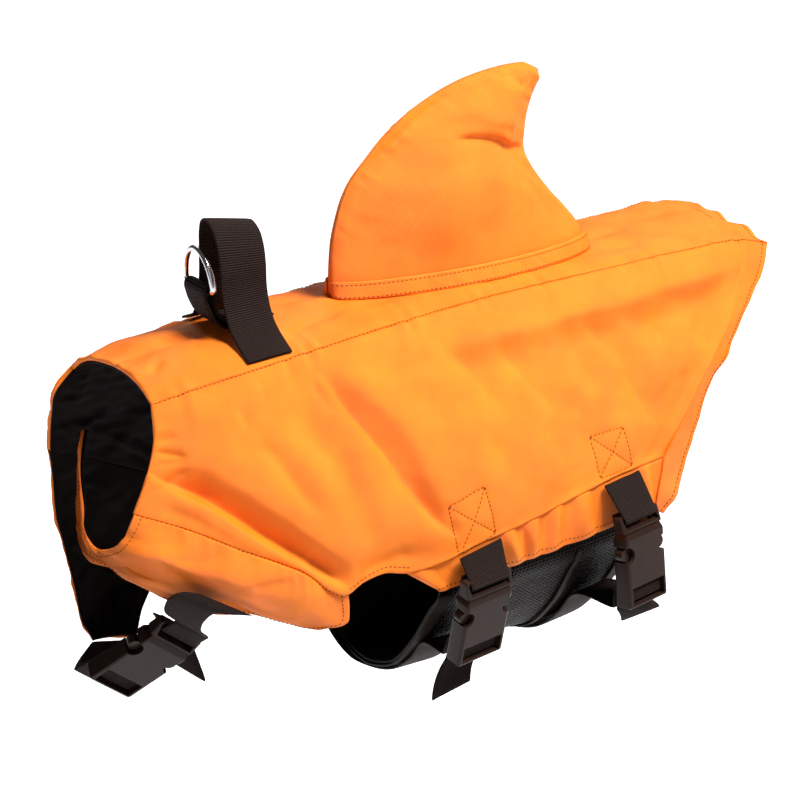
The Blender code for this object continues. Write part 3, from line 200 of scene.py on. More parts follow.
# rectangles of the back that the handle's feet and the ring's loop press flat
Patch = namedtuple("Patch", "x_low y_low x_high y_high")
PRESSED = (Patch(54, -46, 82, -26), Patch(54, 16, 82, 36), Patch(50, -15.5, 88, 9.5))

# ---------------------------------------------------------------- folds
# A fold follows a line of points on its piece; its depth falls off over "left" on the left of the
# line's direction and over "right" on the right; a power below 2 sharpens its line.
Fold = namedtuple("Fold", "path left right depth power")


def straight(a0, b0, a1, b1, left, right, depth, power, bend=0.0):
    """A fold from (a0, b0) to (a1, b1) that bows to its left by bend."""
    run = math.hypot(a1 - a0, b1 - b0)
    middle = ((a0 + a1) / 2 - bend * (b1 - b0) / run, (b0 + b1) / 2 + bend * (a1 - a0) / run)
    return Fold(((a0, b0), middle, (a1, b1)), left, right, depth, power)


LEFT_FOLDS = (
    Fold(((-8, -35), (-1, -40), (10.1, -48.1), (27.6, -64.2), (45.7, -82.1), (65.1, -100.7),
         (82, -115)), 12, 2.5, -8.6, 1.3),
    Fold(((1.1, -36), (14, -32.7), (31.7, -46.4), (49.1, -63.4), (67.2, -83.4), (86.6, -106.7)),
         20, 8.5, 4.4, 2),
    Fold(((-7, -43), (9.4, -52.5), (35.9, -78.5), (55, -95.5), (75.3, -114.5)), 3.6, 8, 2.6, 2),
    Fold(((9, -54.5), (26.7, -71), (42.7, -87)), 2.2, 2.6, -1, 1.5),
    Fold(((-11.9, -50), (2.9, -58.5), (20.3, -71.5)), 5, 5, -1.6, 2),
    Fold(((91.5, -6), (97, -18.8), (103.7, -33.5), (111.7, -48.3), (119.7, -67.3), (130, -85.2),
         (140.2, -97.8)), 9, 2.7, -6.4, 1.35),
    Fold(((100.6, -6.5), (111.3, -19.5), (122.6, -34.2), (129, -48.7), (134.5, -67.2),
         (142, -87.8)), 13, 6, 3.4, 2),
    Fold(((84.6, -9.2), (88.5, -18.4), (92.7, -25)), 3.4, 2.4, -1.6, 1.5),
    Fold(((88.5, -8.1), (94.1, -18.7)), 3.2, 3, 1.2, 2),
    Fold(((48.9, -28.8), (54.6, -42.1), (61.8, -56.1), (70, -71)), 6.5, 4.5, -2.6, 1.7),
    Fold(((55.4, -23), (66.4, -39.9), (74.8, -59.1), (79, -74)), 8, 7, 1.4, 2),
    Fold(((74.4, -15), (77.3, -32.6), (87.9, -52), (91.6, -70.6), (93, -94)), 10, 8, -3.4, 1.9),
    Fold(((94.9, -38.8), (101.3, -65.1), (107.5, -93.3)), 11, 8, 1.8, 2),
    Fold(((6, -14.5), (30, -8.5), (44.6, -7.5), (72.2, -9.4)), 5, 12, 2, 1.8),
    Fold(((26.6, 0.2), (29.4, -5.6)), 2.2, 1.8, -1, 1.6),
    Fold(((58.4, -2.1), (56.4, -11.5)), 2.4, 1.8, -1.2, 1.6),
    Fold(((41, -11.9), (43.6, -22)), 3.6, 3, -1.6, 1.7),
    Fold(((-4.1, -18.1), (6, -17.6)), 2.6, 1.8, -1.6, 1.5),
    Fold(((-5, -22.8), (8, -28)), 2.6, 1.8, -1.8, 1.5),
    Fold(((-7, -29), (8, -30)), 2.4, 1.8, -1.3, 1.5),
    Fold(((-6, -41), (7, -33.5)), 2.4, 1.8, -1.3, 1.5),
    Fold(((156, -8.5), (168.1, -9.5), (200.1, -10.5), (225.9, -11.5), (253.5, -11.5),
         (287.4, -13.6), (311.8, -12.6), (338.9, -13.8), (366.7, -11.5)), 8, 5.5, 4.8, 2),
    Fold(((160, -24), (200, -25), (250, -27), (300, -28), (350, -26)), 8, 18, -4.2, 2),
    Fold(((195, -10), (205.7, -29.5), (220.4, -52.5)), 8, 5, -2.4, 1.7),
    Fold(((250, -13), (260, -23), (272.9, -37.5), (277.8, -55.1), (290, -84)), 11, 5.5, -3.4, 1.6),
    Fold(((308, -10), (304.1, -38.1)), 5, 4, -1.8, 1.7),
    Fold(((237.9, -12), (245.8, -31.5), (249.5, -50)), 5.5, 4, -1.6, 1.7),
    Fold(((226.9, -14.9), (234.4, -41.3), (245.3, -62)), 6, 6, 1.4, 2),
    Fold(((275.7, -22), (289.7, -39.8), (294, -64)), 8, 6, 1.8, 2),
    Fold(((319.8, -28), (314.1, -60)), 9, 9, 1.6, 2),
    Fold(((356, -18), (336, -36), (312, -62), (296, -82)), 8, 12, -1.4, 2),
    Fold(((160, -8), (178.3, -25.7), (186, -43)), 7, 4.5, -2.2, 1.7),
    Fold(((172, -50), (180, -72), (196, -90)), 7, 6, -1.3, 2),
    Fold(((210, -56), (218, -76), (228, -90)), 7, 6, -1.3, 2),
    Fold(((85.5, -107.5), (97.8, -106), (113.7, -105.6), (131.9, -109)), 7, 5, -1.6, 2),
    Fold(((111.2, -100), (115.9, -107.9)), 3.4, 3, -1.4, 1.7),
    Fold(((205, -72), (270, -64), (330, -50)), 26, 24, -4.4, 2),
    straight(186, -106, 192, -88, 4.5, 4, -1.1, 1.8),
    straight(222, -101, 224, -84, 4, 4.5, -1, 1.8),
)
RIGHT_FOLDS = (
    straight(-14, -30, 74, -110, 12, 3.2, -6.6, 1.3, 2),
    straight(4, -26, 84, -96, 19, 8.5, 3.4, 2, 2), straight(-16, -42, 68, -117, 3.6, 8, 2.6, 2, 1),
    straight(104, -6, 142, -76, 9, 3.4, -4.6, 1.4, -3),
    straight(116, -6, 154, -72, 13, 6, 2.6, 2, -3), straight(48, -16, 70, -66, 9, 6, -2.4, 1.8),
    straight(84, -18, 92, -84, 10, 8, -2.8, 1.9, 3), straight(166, -10, 210, -70, 10, 5, -2.6, 1.7),
    straight(236, -10, 282, -76, 11, 5.5, -3, 1.6, -2), straight(256, -18, 298, -66, 8, 6, 1.8, 2),
    straight(318, -10, 312, -40, 5, 4, -1.8, 1.7), straight(356, -20, 298, -80, 8, 12, -1.6, 2),
    straight(205, -72, 330, -52, 26, 24, -4.4, 2), straight(150, -10, 370, -12, 7, 5, 2.2, 2, -2),
    straight(160, -24, 350, -26, 9, 15, -1.6, 2), straight(0, -14, 70, -9, 5, 12, 1.8, 1.8, 3),
    straight(-16, -18, 1, -22, 3, 1.8, -1.4, 1.6), straight(-18, -34, -2, -31, 3.4, 1.8, -1.4, 1.6),
    straight(140, -110, 150, -92, 4.5, 4, -1.2, 1.8),
    straight(200, -104, 204, -86, 4, 4.5, -1.1, 1.8),
)
# on the back the first number of each pair is x and the second y
BACK_FOLDS = (
    Fold(((2, 2), (8.9, -1.9), (25.2, -3.5), (44.5, -4), (56, -16.5)), 4, 9, -1.8, 1.7),
    Fold(((6, 10), (26, 6), (48, 4)), 8, 5, 1.4, 2),
    Fold(((7.8, -28), (15.7, -20.5)), 3, 2.6, -1.4, 1.7),
    Fold(((260, -40), (302.4, -38), (345, -36), (374.2, -33)), 4, 4, -1.3, 1.8),
    straight(86, -30, 124, -20, 6, 4, -1.8, 1.7, 1), straight(96, 12, 126, 6, 6, 5, -1.6, 1.7),
    straight(16, 30, 52, 20, 8, 6, -1.6, 1.8), straight(122, -26, 286, -30, 5, 6, 1.2, 2, -2),
    straight(120, 24, 284, 24, 6, 5, 1.1, 2, 2), straight(292, -6, 322, 0, 5, 4, -1.6, 1.7),
    straight(290, -20, 315, -26, 4, 4, -1.3, 1.7), straight(330, 16, 366, 8, 8, 7, -1.2, 1.9),
)
FIN_FOLDS = (
    Fold(((131.1, 56), (140, 70), (149.7, 80), (165.8, 90), (185.1, 97.5), (204.2, 102.5),
         (216.7, 100.5), (233, 90), (245, 79)), 8.5, 5, 2.2, 1.9),
    Fold(((252, 70.5), (243, 74.5), (232, 80.5), (220, 85), (202, 88)), 11, 2.4, -4.2, 1.35),
    Fold(((243.7, 75), (233.7, 83.2)), 2.2, 2.2, 1.4, 1.8),
    Fold(((229, 90), (241, 85)), 2.4, 2.4, -1.2, 1.7),
    Fold(((133.3, 66.1), (143.7, 80.3), (157.5, 90.7)), 2.4, 2, -1.4, 1.7),
    Fold(((193.5, 76), (192.5, 45.1), (192.2, 10)), 26, 24, 5.6, 1.25),
    Fold(((164.8, 40), (157.2, 29.5), (155.6, 15)), 3, 5, -2, 1.7),
    Fold(((166.1, 33), (164.4, 15)), 2.8, 2.8, 1, 2),
    Fold(((246.2, 112), (242.4, 96.3), (240.3, 82.7)), 2.4, 8, 1.8, 1.8),
    Fold(((242.5, 115.2), (253.5, 105.7)), 3.2, 3, -2.2, 1.6),
    Fold(((245.3, 70), (246.5, 52)), 2.4, 2, -1.8, 1.6),
    Fold(((250.1, 62), (253, 50)), 2, 2, -1.2, 1.7),
    Fold(((249.7, 54.5), (262, 34), (270, 20)), 3, 3.6, -1, 1.8),
    straight(215, 20, 235, 56, 14, 16, -1.4, 2), straight(142, 23, 150, 56, 10, 10, -1.6, 2),
)
# on a flap the first number runs along it from the chest seam, the second across it from its top
FLAP_FOLDS = (
    Fold(((23, -10), (21, 20), (16, 50), (11, 80), (8, 120)), 12, 12, 3, 2),
    straight(60, 0, 66, 90, 20, 20, -1.8, 2), straight(4, 50, 20, 26, 4, 3.4, -1.2, 1.7, 2),
    straight(6, 92, 18, 72, 4, 3.4, -1.2, 1.7), straight(50, 6, 64, 26, 5, 4, -1, 1.8),
    straight(110, 4, 124, 20, 5, 5, -1.2, 1.8),
)
# gathers of a hem strip: where each starts at the fold line, how far it leans by the hem, half
# width and height
Gather = namedtuple("Gather", "x lean half height")
HEM_GATHERS = (
    Gather(122, 10, 4, 1.6), Gather(134, 6, 4, -1.4), Gather(176, 6, 4, 2.6),
    Gather(183.5, 4, 2.6, -2.4), Gather(192, 1, 5, 2.4), Gather(201, -4, 3, -2.6),
    Gather(209, -6, 3.6, 2.2), Gather(218, -4, 3, -2.2), Gather(226.5, -1, 5, 2.6),
    Gather(236, 3, 3, -1.8), Gather(272, 4, 3.4, 1.8), Gather(280, 0, 2.6, -1.4),
)
# each side's own neck edge, flap and folds, and how deep its other folds are
NECK = {-1: NECK_LEFT, 1: NECK_RIGHT}
FLAP = {-1: LEFT_FLAP, 1: RIGHT_FLAP}
FOLDS = {-1: LEFT_FOLDS, 1: RIGHT_FOLDS}
SHARE_OF_FOLDS = {-1: 1.0, 1: 0.8}


# ---------------------------------------------------------------- curves
def table(rows, plain=()):
    """A table as an array with a column for each name, in metres but for the plain columns."""
    scale = [1.0 if name in plain else MM for name in rows[0]._fields]
    return np.array(rows, float) * scale


def lattice(first, second):
    return np.meshgrid(first, second, indexing="ij")


def smooth(knots, values, at):
    """Cubic through the values; each knot's slope is the mean slope of its neighbours."""
    slopes = np.gradient(values, knots, axis=0)
    at = np.clip(np.asarray(at, float), knots[0], knots[-1])
    low = np.clip(np.searchsorted(knots, at, side="right") - 1, 0, len(knots) - 2)
    step = knots[low + 1] - knots[low]
    t = (at - knots[low]) / step
    if values.ndim > 1:
        step, t = step[..., None], t[..., None]
    return (values[low] * (2 * t**3 - 3 * t**2 + 1) + values[low + 1] * (3 * t**2 - 2 * t**3)
            + step * (slopes[low] * (t**3 - 2 * t**2 + t) + slopes[low + 1] * (t**3 - t**2)))


def reach_of(points):
    """Length run from a line's first point to each of its points."""
    return np.concatenate([[0.0], np.cumsum(np.linalg.norm(np.diff(points, axis=0), axis=1))])


def along(points, at):
    """Points of a smooth curve at fractions of its length."""
    reach = reach_of(points)
    return smooth(reach / reach[-1], points, at)


def unit(vectors):
    return vectors / np.linalg.norm(vectors, axis=-1, keepdims=True)


def ease(t):
    """Smooth step from 0 to 1."""
    t = np.clip(t, 0, 1)
    return t * t * (3 - 2 * t)


def bell(off, width, power=2.0):
    return np.exp(-np.abs(off / width)**power)


def ripples(points, seed, wave, count=16):
    """Smooth unevenness of about -1 to 1: the sum of seeded sine waves in all directions."""
    draw = np.random.default_rng(seed)
    ways = unit(draw.normal(size=(count, 3))) * 2 * math.pi
    ways = ways / (wave * draw.uniform(0.7, 1.6, count))[:, None]
    return np.sin(points @ ways.T + draw.uniform(0, 2 * math.pi, count)).sum(-1) * 1.1 / math.sqrt(count)


def uneven(run, seed, wave):
    """The same along a line, from the length run along it."""
    draw = np.random.default_rng(seed)
    waves = wave * draw.uniform(0.6, 1.8, 12)
    return np.sin(run[..., None] * (2 * math.pi / waves) + draw.uniform(0, 6.28, 12)).sum(-1) / 3.2


def off_line(path, a, b, count=24):
    """Distance from (a, b) to a smooth line through path, above 0 on its left, and the share of the
    line's length at the nearest point: the nearest of the straight steps between count points."""
    line = along(path, np.linspace(0, 1, count if len(path) > 2 else 2))
    reach = reach_of(line)
    nearest, off, share = np.full(np.shape(a), np.inf), np.zeros(np.shape(a)), np.zeros(np.shape(a))
    for start, step, run in zip(line[:-1], np.diff(line, axis=0), reach):
        length = np.linalg.norm(step)
        held = np.clip(((a - start[0]) * step[0] + (b - start[1]) * step[1]) / length**2, 0, 1)
        away = np.hypot(a - start[0] - held * step[0], b - start[1] - held * step[1])
        left = np.where((b - start[1]) * step[0] > (a - start[0]) * step[1], away, -away)
        near = away < nearest
        nearest, off = np.where(near, away, nearest), np.where(near, left, off)
        share = np.where(near, (run + held * length) / reach[-1], share)
    return off, share


def creased(folds, a, b):
    """Sum of the folds at (a, b): a bell across each line, fading out at its two ends."""
    total = np.zeros(np.shape(a))
    for fold in folds:
        off, share = off_line(np.array(fold.path) * MM, a, b)
        width = np.where(off > 0, fold.left, fold.right) * MM
        fade = ease((share + 0.10) / 0.30) * ease((1.10 - share) / 0.30)
        total = total + fold.depth * MM * bell(off, width, fold.power) * fade
    return total


# ---------------------------------------------------------------- the body's form
SECTION_ROWS = table(SECTIONS)
SPINE_ROWS = table(SPINE, plain=("square",))


def half_width(x, z):
    """Spine plane to cloth: smooth along x in each column, then a cubic through the four depths."""
    columns = smooth(SECTION_ROWS[:, 0], SECTION_ROWS[:, 1:], x)
    depth = np.clip(-np.asarray(z, float), -0.012, 0.150)
    total = np.zeros(np.shape(depth))
    for k, own in enumerate(DEPTHS):
        weight = np.ones(np.shape(depth))
        for other in DEPTHS:
            if other != own:
                weight = weight * (depth - other) / (own - other)
        total = total + weight * columns[..., k]
    return total


def seam_height(x):
    return smooth(SPINE_ROWS[:, 0], SPINE_ROWS[:, 1], x)


def back_height(x, y):
    """Height of the back: an arch between the two back seams."""
    across = np.abs(y / half_width(x, seam_height(x)))
    arch, square = np.moveaxis(smooth(SPINE_ROWS[:, 0], SPINE_ROWS[:, 2:4], x), -1, 0)
    return seam_height(x) + arch * (1 - across**square)


def skewed(points):
    """The rear of the right side lies further back and higher, less and less towards the hem."""
    rear = np.clip((points[..., 0] - 0.18) / 0.20, 0, 1)
    right = np.clip(0.5 + points[..., 1] / (2 * HALF_BACK), 0, 1)
    high = np.clip(1 + points[..., 2] / 0.09, 0, 1)
    moved = points.copy()
    moved[..., 2] += smooth(SPINE_ROWS[:, 0], SPINE_ROWS[:, 4], points[..., 0]) * right * high
    moved[..., 0] += REAR_SKEW * rear**2 * (3 - 2 * rear) * right * high
    return moved


def on_side(side, flat):
    """Points of the body's side over side-view points x, z."""
    x, z = flat[..., 0], flat[..., 1]
    return skewed(np.stack([x, side * half_width(x, z), z], -1))


def low_edge(side):
    """Lower edge of a side panel: chest seam, top of the leg hole, fold line."""
    return np.concatenate([table(NECK[side])[-1:], table(CHEST_SEAM + LEG_TOP + FOLD_LINE)])


def leg_and_fold(side):
    """Where the leg hole and the fold line start, as shares of the lower edge's length."""
    reach = reach_of(low_edge(side))
    leg = len(CHEST_SEAM)
    return reach[leg] / reach[-1], reach[leg + len(LEG_TOP) + 1] / reach[-1]


def fine_rows(side, chest, leg, hem):
    """Rows of the shell from neck to tail, with one on each corner of its lower edge."""
    a, b = leg_and_fold(side)
    return np.concatenate([np.linspace(0, a, chest), np.linspace(a, b, leg)[1:],
                           np.linspace(b, 1, hem)[1:]])


def side_flat(side, u, v):
    """Side panel in side view: a patch blended from its four edges, u neck to tail, v top to bottom."""
    neck, low, end = table(NECK[side]), low_edge(side), table(PAD_END)
    x_top = neck[0, 0] + (BACK_LENGTH - neck[0, 0]) * u
    top = np.stack([x_top, seam_height(x_top)], -1)
    uu, vv = u[..., None], v[..., None]
    corners = ((1 - uu) * (1 - vv) * neck[0] + uu * (1 - vv) * end[0]
               + (1 - uu) * vv * low[0] + uu * vv * low[-1])
    return (1 - vv) * top + vv * along(low, u) + (1 - uu) * along(neck, v) + uu * along(end, v) - corners


def over_back(x, across):
    """Points of the back at x and a share across, -1 at the left seam to 1 at the right seam."""
    y = across * half_width(x, seam_height(x))
    return skewed(np.stack([x, y, back_height(x, y)], -1))


def back_points(u, across):
    """Back panel, u neck to tail: its neck edge runs from one seam's start to the other's."""
    start = np.interp(across, (-1, 0, 1), (NECK_LEFT[0].x * MM, 0.0, NECK_RIGHT[0].x * MM))
    return over_back(start + (BACK_LENGTH - start) * u, across)


def grid_normals(points):
    """Unit normals of a grid, from its own steps, pointing away from the body's middle."""
    normals = unit(np.cross(np.gradient(points, axis=0), np.gradient(points, axis=1)))
    middle = np.array([0.19, 0.0, -0.09])
    return normals if np.sum(normals * (points - middle)) > 0 else -normals


def eased(distance, rim):
    """How much the padding thins at this distance from a free edge."""
    return rim.depth * ease(1 - distance / rim.reach)


def mitre(first, second):
    """Direction shared by two walls at their seam, long enough to keep both walls' thickness."""
    both = unit(first + second)
    return both / np.sum(both * first, axis=-1, keepdims=True)


def side_normals(side, u):
    return grid_normals(on_side(side, side_flat(side, *lattice(u, np.linspace(0, 1, 14)))))


def back_seam_normals(side, u):
    across = side * np.linspace(1, 0.5, 6)
    return mitre(side_normals(side, u)[:, 0], grid_normals(back_points(*lattice(u, across)))[:, 0])


def flap_points(side, s, t):
    """Chest flap: straight lines from edge a to edge b, bowed outwards by each row's bulge; near
    the chest seam (s = 0) they follow the seam's own curve, t from the neck to the leg hole."""
    data = table(FLAP[side])
    rows = smooth(np.linspace(0, 1, len(data)), data, s)
    t3 = t[..., None]
    plain = rows[..., 0:3] * (1 - t3) + rows[..., 3:6] * t3
    seam = on_side(side, along(low_edge(side), t * leg_and_fold(side)[0]))
    first = data[0, 0:3] * (1 - t3) + data[0, 3:6] * t3
    plain = plain + (seam - first) * np.clip(1 - s / 0.30, 0, 1)[..., None]**2
    return plain + grid_normals(plain) * (rows[..., 6] * 4 * t * (1 - t))[..., None]


def chest_seam_normals(side, t):
    """Shared direction along the chest seam, t from the neck to the leg hole."""
    above = side_normals(side, np.clip(t, 0, 1) * leg_and_fold(side)[0])
    return mitre(above[:, -1], grid_normals(flap_points(side, *lattice(np.linspace(0, 1, 24), t)))[0])


# ---------------------------------------------------------------- making meshes
def piece(name, verts, faces, finish, uv=None):
    """One object whose place is in its mesh; faces that came out inside out are turned."""
    mesh = bpy.data.meshes.new(name)
    mesh.from_pydata((verts - CARRIED_AT).tolist(), [], faces)
    shape = bmesh.new()
    shape.from_mesh(mesh)
    if shape.calc_volume(signed=True) < 0:
        bmesh.ops.reverse_faces(shape, faces=shape.faces)
    shape.to_mesh(mesh)
    shape.free()
    if uv is not None:
        layer = mesh.uv_layers.new(name="cloth")
        index = np.zeros(len(mesh.loops), int)
        mesh.loops.foreach_get("vertex_index", index)
        layer.data.foreach_set("uv", uv[index].ravel())
    mesh.shade_smooth()
    mesh.materials.append(finish)
    return linked(name, mesh)


def linked(name, data):
    made = bpy.data.objects.new(name, data)
    bpy.context.scene.collection.objects.link(made)
    return made


def quads(a, b, c, d):
    return np.stack([a.ravel(), b.ravel(), c.ravel(), d.ravel()], -1)


def wall(name, outer, inner, uv, finish, bulge=(0, 0, 0, 0), steps=3):
    """Closed wall between two grids.  Its rim is part of an ellipse from one grid to the other that
    stands out by bulge times half the thickness; bulge is for the first row, last column, last row
    and first column."""
    rows, cols = outer.shape[:2]
    size = rows * cols
    index = np.arange(size).reshape(rows, cols)
    a, b, c, d = index[:-1, :-1], index[:-1, 1:], index[1:, 1:], index[1:, :-1]
    faces = [quads(a, b, c, d), quads(size + d, size + c, size + b, size + a)]
    ring = np.concatenate([index[0, :-1], index[:-1, -1], index[-1, :0:-1], index[:0:-1, 0]])
    inside = index.copy()
    inside[0], inside[-1] = index[1], index[-2]
    inside[1:-1, 0], inside[1:-1, -1] = index[1:-1, 1], index[1:-1, -2]
    near = inside.ravel()[ring]
    amount = np.concatenate([np.broadcast_to(one, count - 1)
                             for one, count in zip(bulge, (cols, rows, cols, rows))])[:, None]
    flat_outer, flat_inner, flat_uv = outer.reshape(-1, 3), inner.reshape(-1, 3), uv.reshape(-1, 2)
    top, low = flat_outer[ring], flat_inner[ring]
    away = unit((top + low) - (flat_outer[near] + flat_inner[near]))
    half = (top - low) / 2
    deep = np.linalg.norm(half, axis=-1, keepdims=True)
    away = away - half * np.sum(away * half, -1, keepdims=True) / deep**2
    verts, coords, strips = [flat_outer, flat_inner], [flat_uv, flat_uv], [ring]
    for k in range(steps) if amount.max() > 0 else ():
        angle = math.pi * (k + 1) / (steps + 1)
        verts.append((top + low) / 2 + math.cos(angle) * half + math.sin(angle) * away * deep * amount)
        coords.append(flat_uv[ring])
        strips.append(2 * size + k * len(ring) + np.arange(len(ring)))
    strips.append(size + ring)
    for first, second in zip(strips[:-1], strips[1:]):
        faces.append(quads(np.roll(first, -1), first, second, np.roll(second, -1)))
    faces = np.concatenate(faces).tolist()
    return piece(name, np.concatenate(verts), faces, finish, np.concatenate(coords))


def thick(name, base, normals, top, low, uv, finish, bulge):
    """A wall from base + normals * top to base - normals * low; returns its outer grid as well."""
    outer = base + normals * np.asarray(top)[..., None]
    inner = base - normals * np.asarray(low)[..., None]
    return wall(name, outer, inner, uv, finish, bulge), outer


def lengths(grid):
    """Length run down the columns and along the rows of a grid, as each point's place on the cloth."""
    down = np.linalg.norm(np.diff(grid, axis=0), axis=-1)
    across = np.linalg.norm(np.diff(grid, axis=1), axis=-1)
    down = np.concatenate([np.zeros((1, grid.shape[1])), np.cumsum(down, 0)])
    across = np.concatenate([np.zeros((grid.shape[0], 1)), np.cumsum(across, 1)], 1)
    return np.stack([down, across], -1)


def margins(grid):
    """Distance over the cloth from the first row, last row, first column and last column."""
    run = lengths(grid)
    down, across = run[..., 0], run[..., 1]
    return down, down[-1:] - down, across, across[:, -1:] - across


# ---------------------------------------------------------------- stitches
STITCH, STITCH_GAP, THREAD = 0.0015, 0.0010, 0.00030
# a stitch's stations: share of its length, lift and thickness in threads
BEAD = ((0.0, -0.55, 0.25), (0.10, 0.15, 0.85), (0.35, 0.55, 1.0), (0.65, 0.55, 1.0),
        (0.90, 0.15, 0.85), (1.0, -0.55, 0.25))
BEAD_SIDES, BEAD_FLAT = 6, 0.8
stitches = []


def blend(grid, rows, cols):
    """A grid's value at fractional rows and columns, from the four points around."""
    i, j = rows.astype(int), cols.astype(int)
    a, b = (rows - i)[..., None], (cols - j)[..., None]
    return ((grid[i, j] * (1 - b) + grid[i, j + 1] * b) * (1 - a)
            + (grid[i + 1, j] * (1 - b) + grid[i + 1, j + 1] * b) * a)


def sew_edge(outer, gap, last=True, start=0, end=None):
    """A row of stitches that keeps one distance from the grid's last or first column."""
    way = -1 if last else 1
    points, normals = outer[start:end, ::way], grid_normals(outer)[start:end, ::way]
    away = lengths(points)[..., 1]
    low = np.clip((away < gap).sum(1) - 1, 0, away.shape[1] - 2)
    row = np.arange(len(low))
    t = ((gap - away[row, low]) / (away[row, low + 1] - away[row, low]))[:, None]
    sew(*(grid[row, low] * (1 - t) + grid[row, low + 1] * t for grid in (points, normals)))


def sew_across(outer, plan, start, end, count=16):
    """Stitches from start to end on the plan: the nearest grid point, then one straight step."""
    normals, rows, cols = grid_normals(outer), [], []
    share = np.linspace(0, 1, count)[:, None]
    for spot in start * (1 - share) + end * share:
        away = np.linalg.norm(plan - spot, axis=-1)
        i, j = np.unravel_index(np.argmin(away), away.shape)
        i, j = min(max(i, 1), plan.shape[0] - 2), min(max(j, 1), plan.shape[1] - 2)
        steps = np.stack([plan[i + 1, j] - plan[i - 1, j], plan[i, j + 1] - plan[i, j - 1]], -1) / 2
        move = np.linalg.solve(steps, spot - plan[i, j])
        rows.append(i + move[0])
        cols.append(j + move[1])
    rows = np.clip(rows, 0, plan.shape[0] - 1.001)
    cols = np.clip(cols, 0, plan.shape[1] - 1.001)
    sew(blend(outer, rows, cols), blend(normals, rows, cols))


def sew(points, normals):
    """Both ends and the normal of each stitch along a line of points."""
    reach = reach_of(points)
    count = max(int(reach[-1] / (STITCH + STITCH_GAP)), 1)
    middle = (np.arange(count) + 0.5) * reach[-1] / count
    share = STITCH / (STITCH + STITCH_GAP) / 2 * reach[-1] / count
    found = [np.stack([np.interp(at, reach, line[:, k]) for k in range(3)], -1)
             for at, line in ((middle - share, points), (middle + share, points), (middle, unit(normals)))]
    stitches.append((found[0], found[1], unit(found[2])))


def stitching(name, finish):
    """All stitches in one mesh: each is a flat-sided bead whose middle stands up from the cloth and
    whose two ends dive into it."""
    first, last, up = (np.concatenate(part) for part in zip(*stitches))
    way = last - first
    side = unit(np.cross(way, up))
    corners = np.radians(30 + 360 / BEAD_SIDES * np.arange(BEAD_SIDES))
    rings = []
    for share, lift, size in BEAD:
        centre = first + way * share + up * THREAD * lift
        rings.append(np.stack([centre + THREAD * size * (side * math.cos(a) + up * math.sin(a) * BEAD_FLAT)
                               for a in corners], 1))
    verts = np.stack(rings, 1)
    index = np.arange(verts[..., 0].size).reshape(verts.shape[:3])
    beside = np.roll(index, -1, 2)
    faces = quads(index[:, :-1], beside[:, :-1], beside[:, 1:], index[:, 1:]).tolist()
    faces += index[:, 0, ::-1].tolist() + index[:, -1].tolist()
    return piece(name, verts.reshape(-1, 3), faces, finish)


# ---------------------------------------------------------------- finishes
class Finish:
    """A material in the making; a source is a node and the name of its output."""

    def __init__(self, name):
        self.material = bpy.data.materials.new(name)
        self.material.use_nodes = True
        self.tree = self.material.node_tree
        self.shader = self.tree.nodes["Principled BSDF"]
        self.place = self.node("TexCoord", "Object")

    def node(self, kind, out, links=(), **values):
        """One node; links are pairs of its input and a source, values are sockets or properties."""
        made = self.tree.nodes.new("ShaderNode" + kind)
        for key, value in values.items():
            if hasattr(made, key):
                setattr(made, key, value)
            else:
                made.inputs[key.replace("_", " ")].default_value = value
        for own, (source, output) in links:
            self.tree.links.new(source.outputs[output], made.inputs[own])
        return made, out

    def cloth_map(self):
        return self.node("UVMap", "UV", uv_map="cloth")

    def noise(self, scale, **values):
        return self.node("TexNoise", "Fac", [("Vector", self.place)], Scale=scale, **values)

    def bands(self, coords, pitch, way, distortion=0.0):
        """Sine ridges pitch metres apart, counted along one axis."""
        return self.node("TexWave", "Fac", [("Vector", coords)], wave_type="BANDS", bands_direction=way,
                         Scale=2 * math.pi / 20 / pitch, Distortion=distortion)

    def weighted(self, first, second, weight):
        """The first source plus weight times the second."""
        made = self.node("Math", "Value", [(0, second), (2, first)], operation="MULTIPLY_ADD")
        made[0].inputs[1].default_value = weight
        return made

    def bump(self, height, distance, strength=1.0, under=()):
        return self.node("Bump", "Normal", [("Height", height), *under], Strength=strength,
                         Distance=distance)

    def spread(self, source, low, high):
        """A pattern's 0 to 1 mapped onto low to high."""
        return self.node("MapRange", "Result", [("Value", source)], To_Min=low, To_Max=high)

    def two_tone(self, source, low, high, tones):
        """Colour ramp between two shades, from low to high of a pattern."""
        ramp = self.node("ValToRGB", "Color", [("Fac", source)])
        for stop, at, tone in zip(ramp[0].color_ramp.elements, (low, high), tones):
            stop.position, stop.color = at, (*tone, 1)
        return ramp

    def done(self, links, **values):
        """Links sources to the shader's inputs, sets the others and gives the material."""
        for own, (source, output) in links.items():
            self.tree.links.new(source.outputs[output], self.shader.inputs[own])
        for key, value in values.items():
            self.shader.inputs[key.replace("_", " ")].default_value = value
        return self.material


def cloth_finish(name, tones, roughness, pitch, weave, crumple, specular):
    """Woven cloth: crossing threads, a diagonal twill and crumples as bump, and two shades."""
    made = Finish(name)
    flat = made.cloth_map()
    threads = made.weighted(made.bands(flat, pitch, "X"), made.bands(flat, pitch, "Y"), 1.0)
    threads = made.weighted(threads, made.bands(flat, TWILL / 2, "DIAGONAL", 0.4), 1.6)
    cloud = made.noise(38.0, Detail=4.0, Roughness=0.6)
    crease = made.noise(190.0, Detail=5.0, Roughness=0.55, Distortion=0.6)
    large = made.bump(crease, crumple)
    return made.done({"Base Color": made.two_tone(made.weighted(cloud, threads, 0.10), 0.40, 0.95, tones),
                      "Roughness": made.spread(crease, roughness - 0.07, roughness + 0.07),
                      "Normal": made.bump(threads, weave, under=[("Normal", large)])},
                     Specular_IOR_Level=specular)


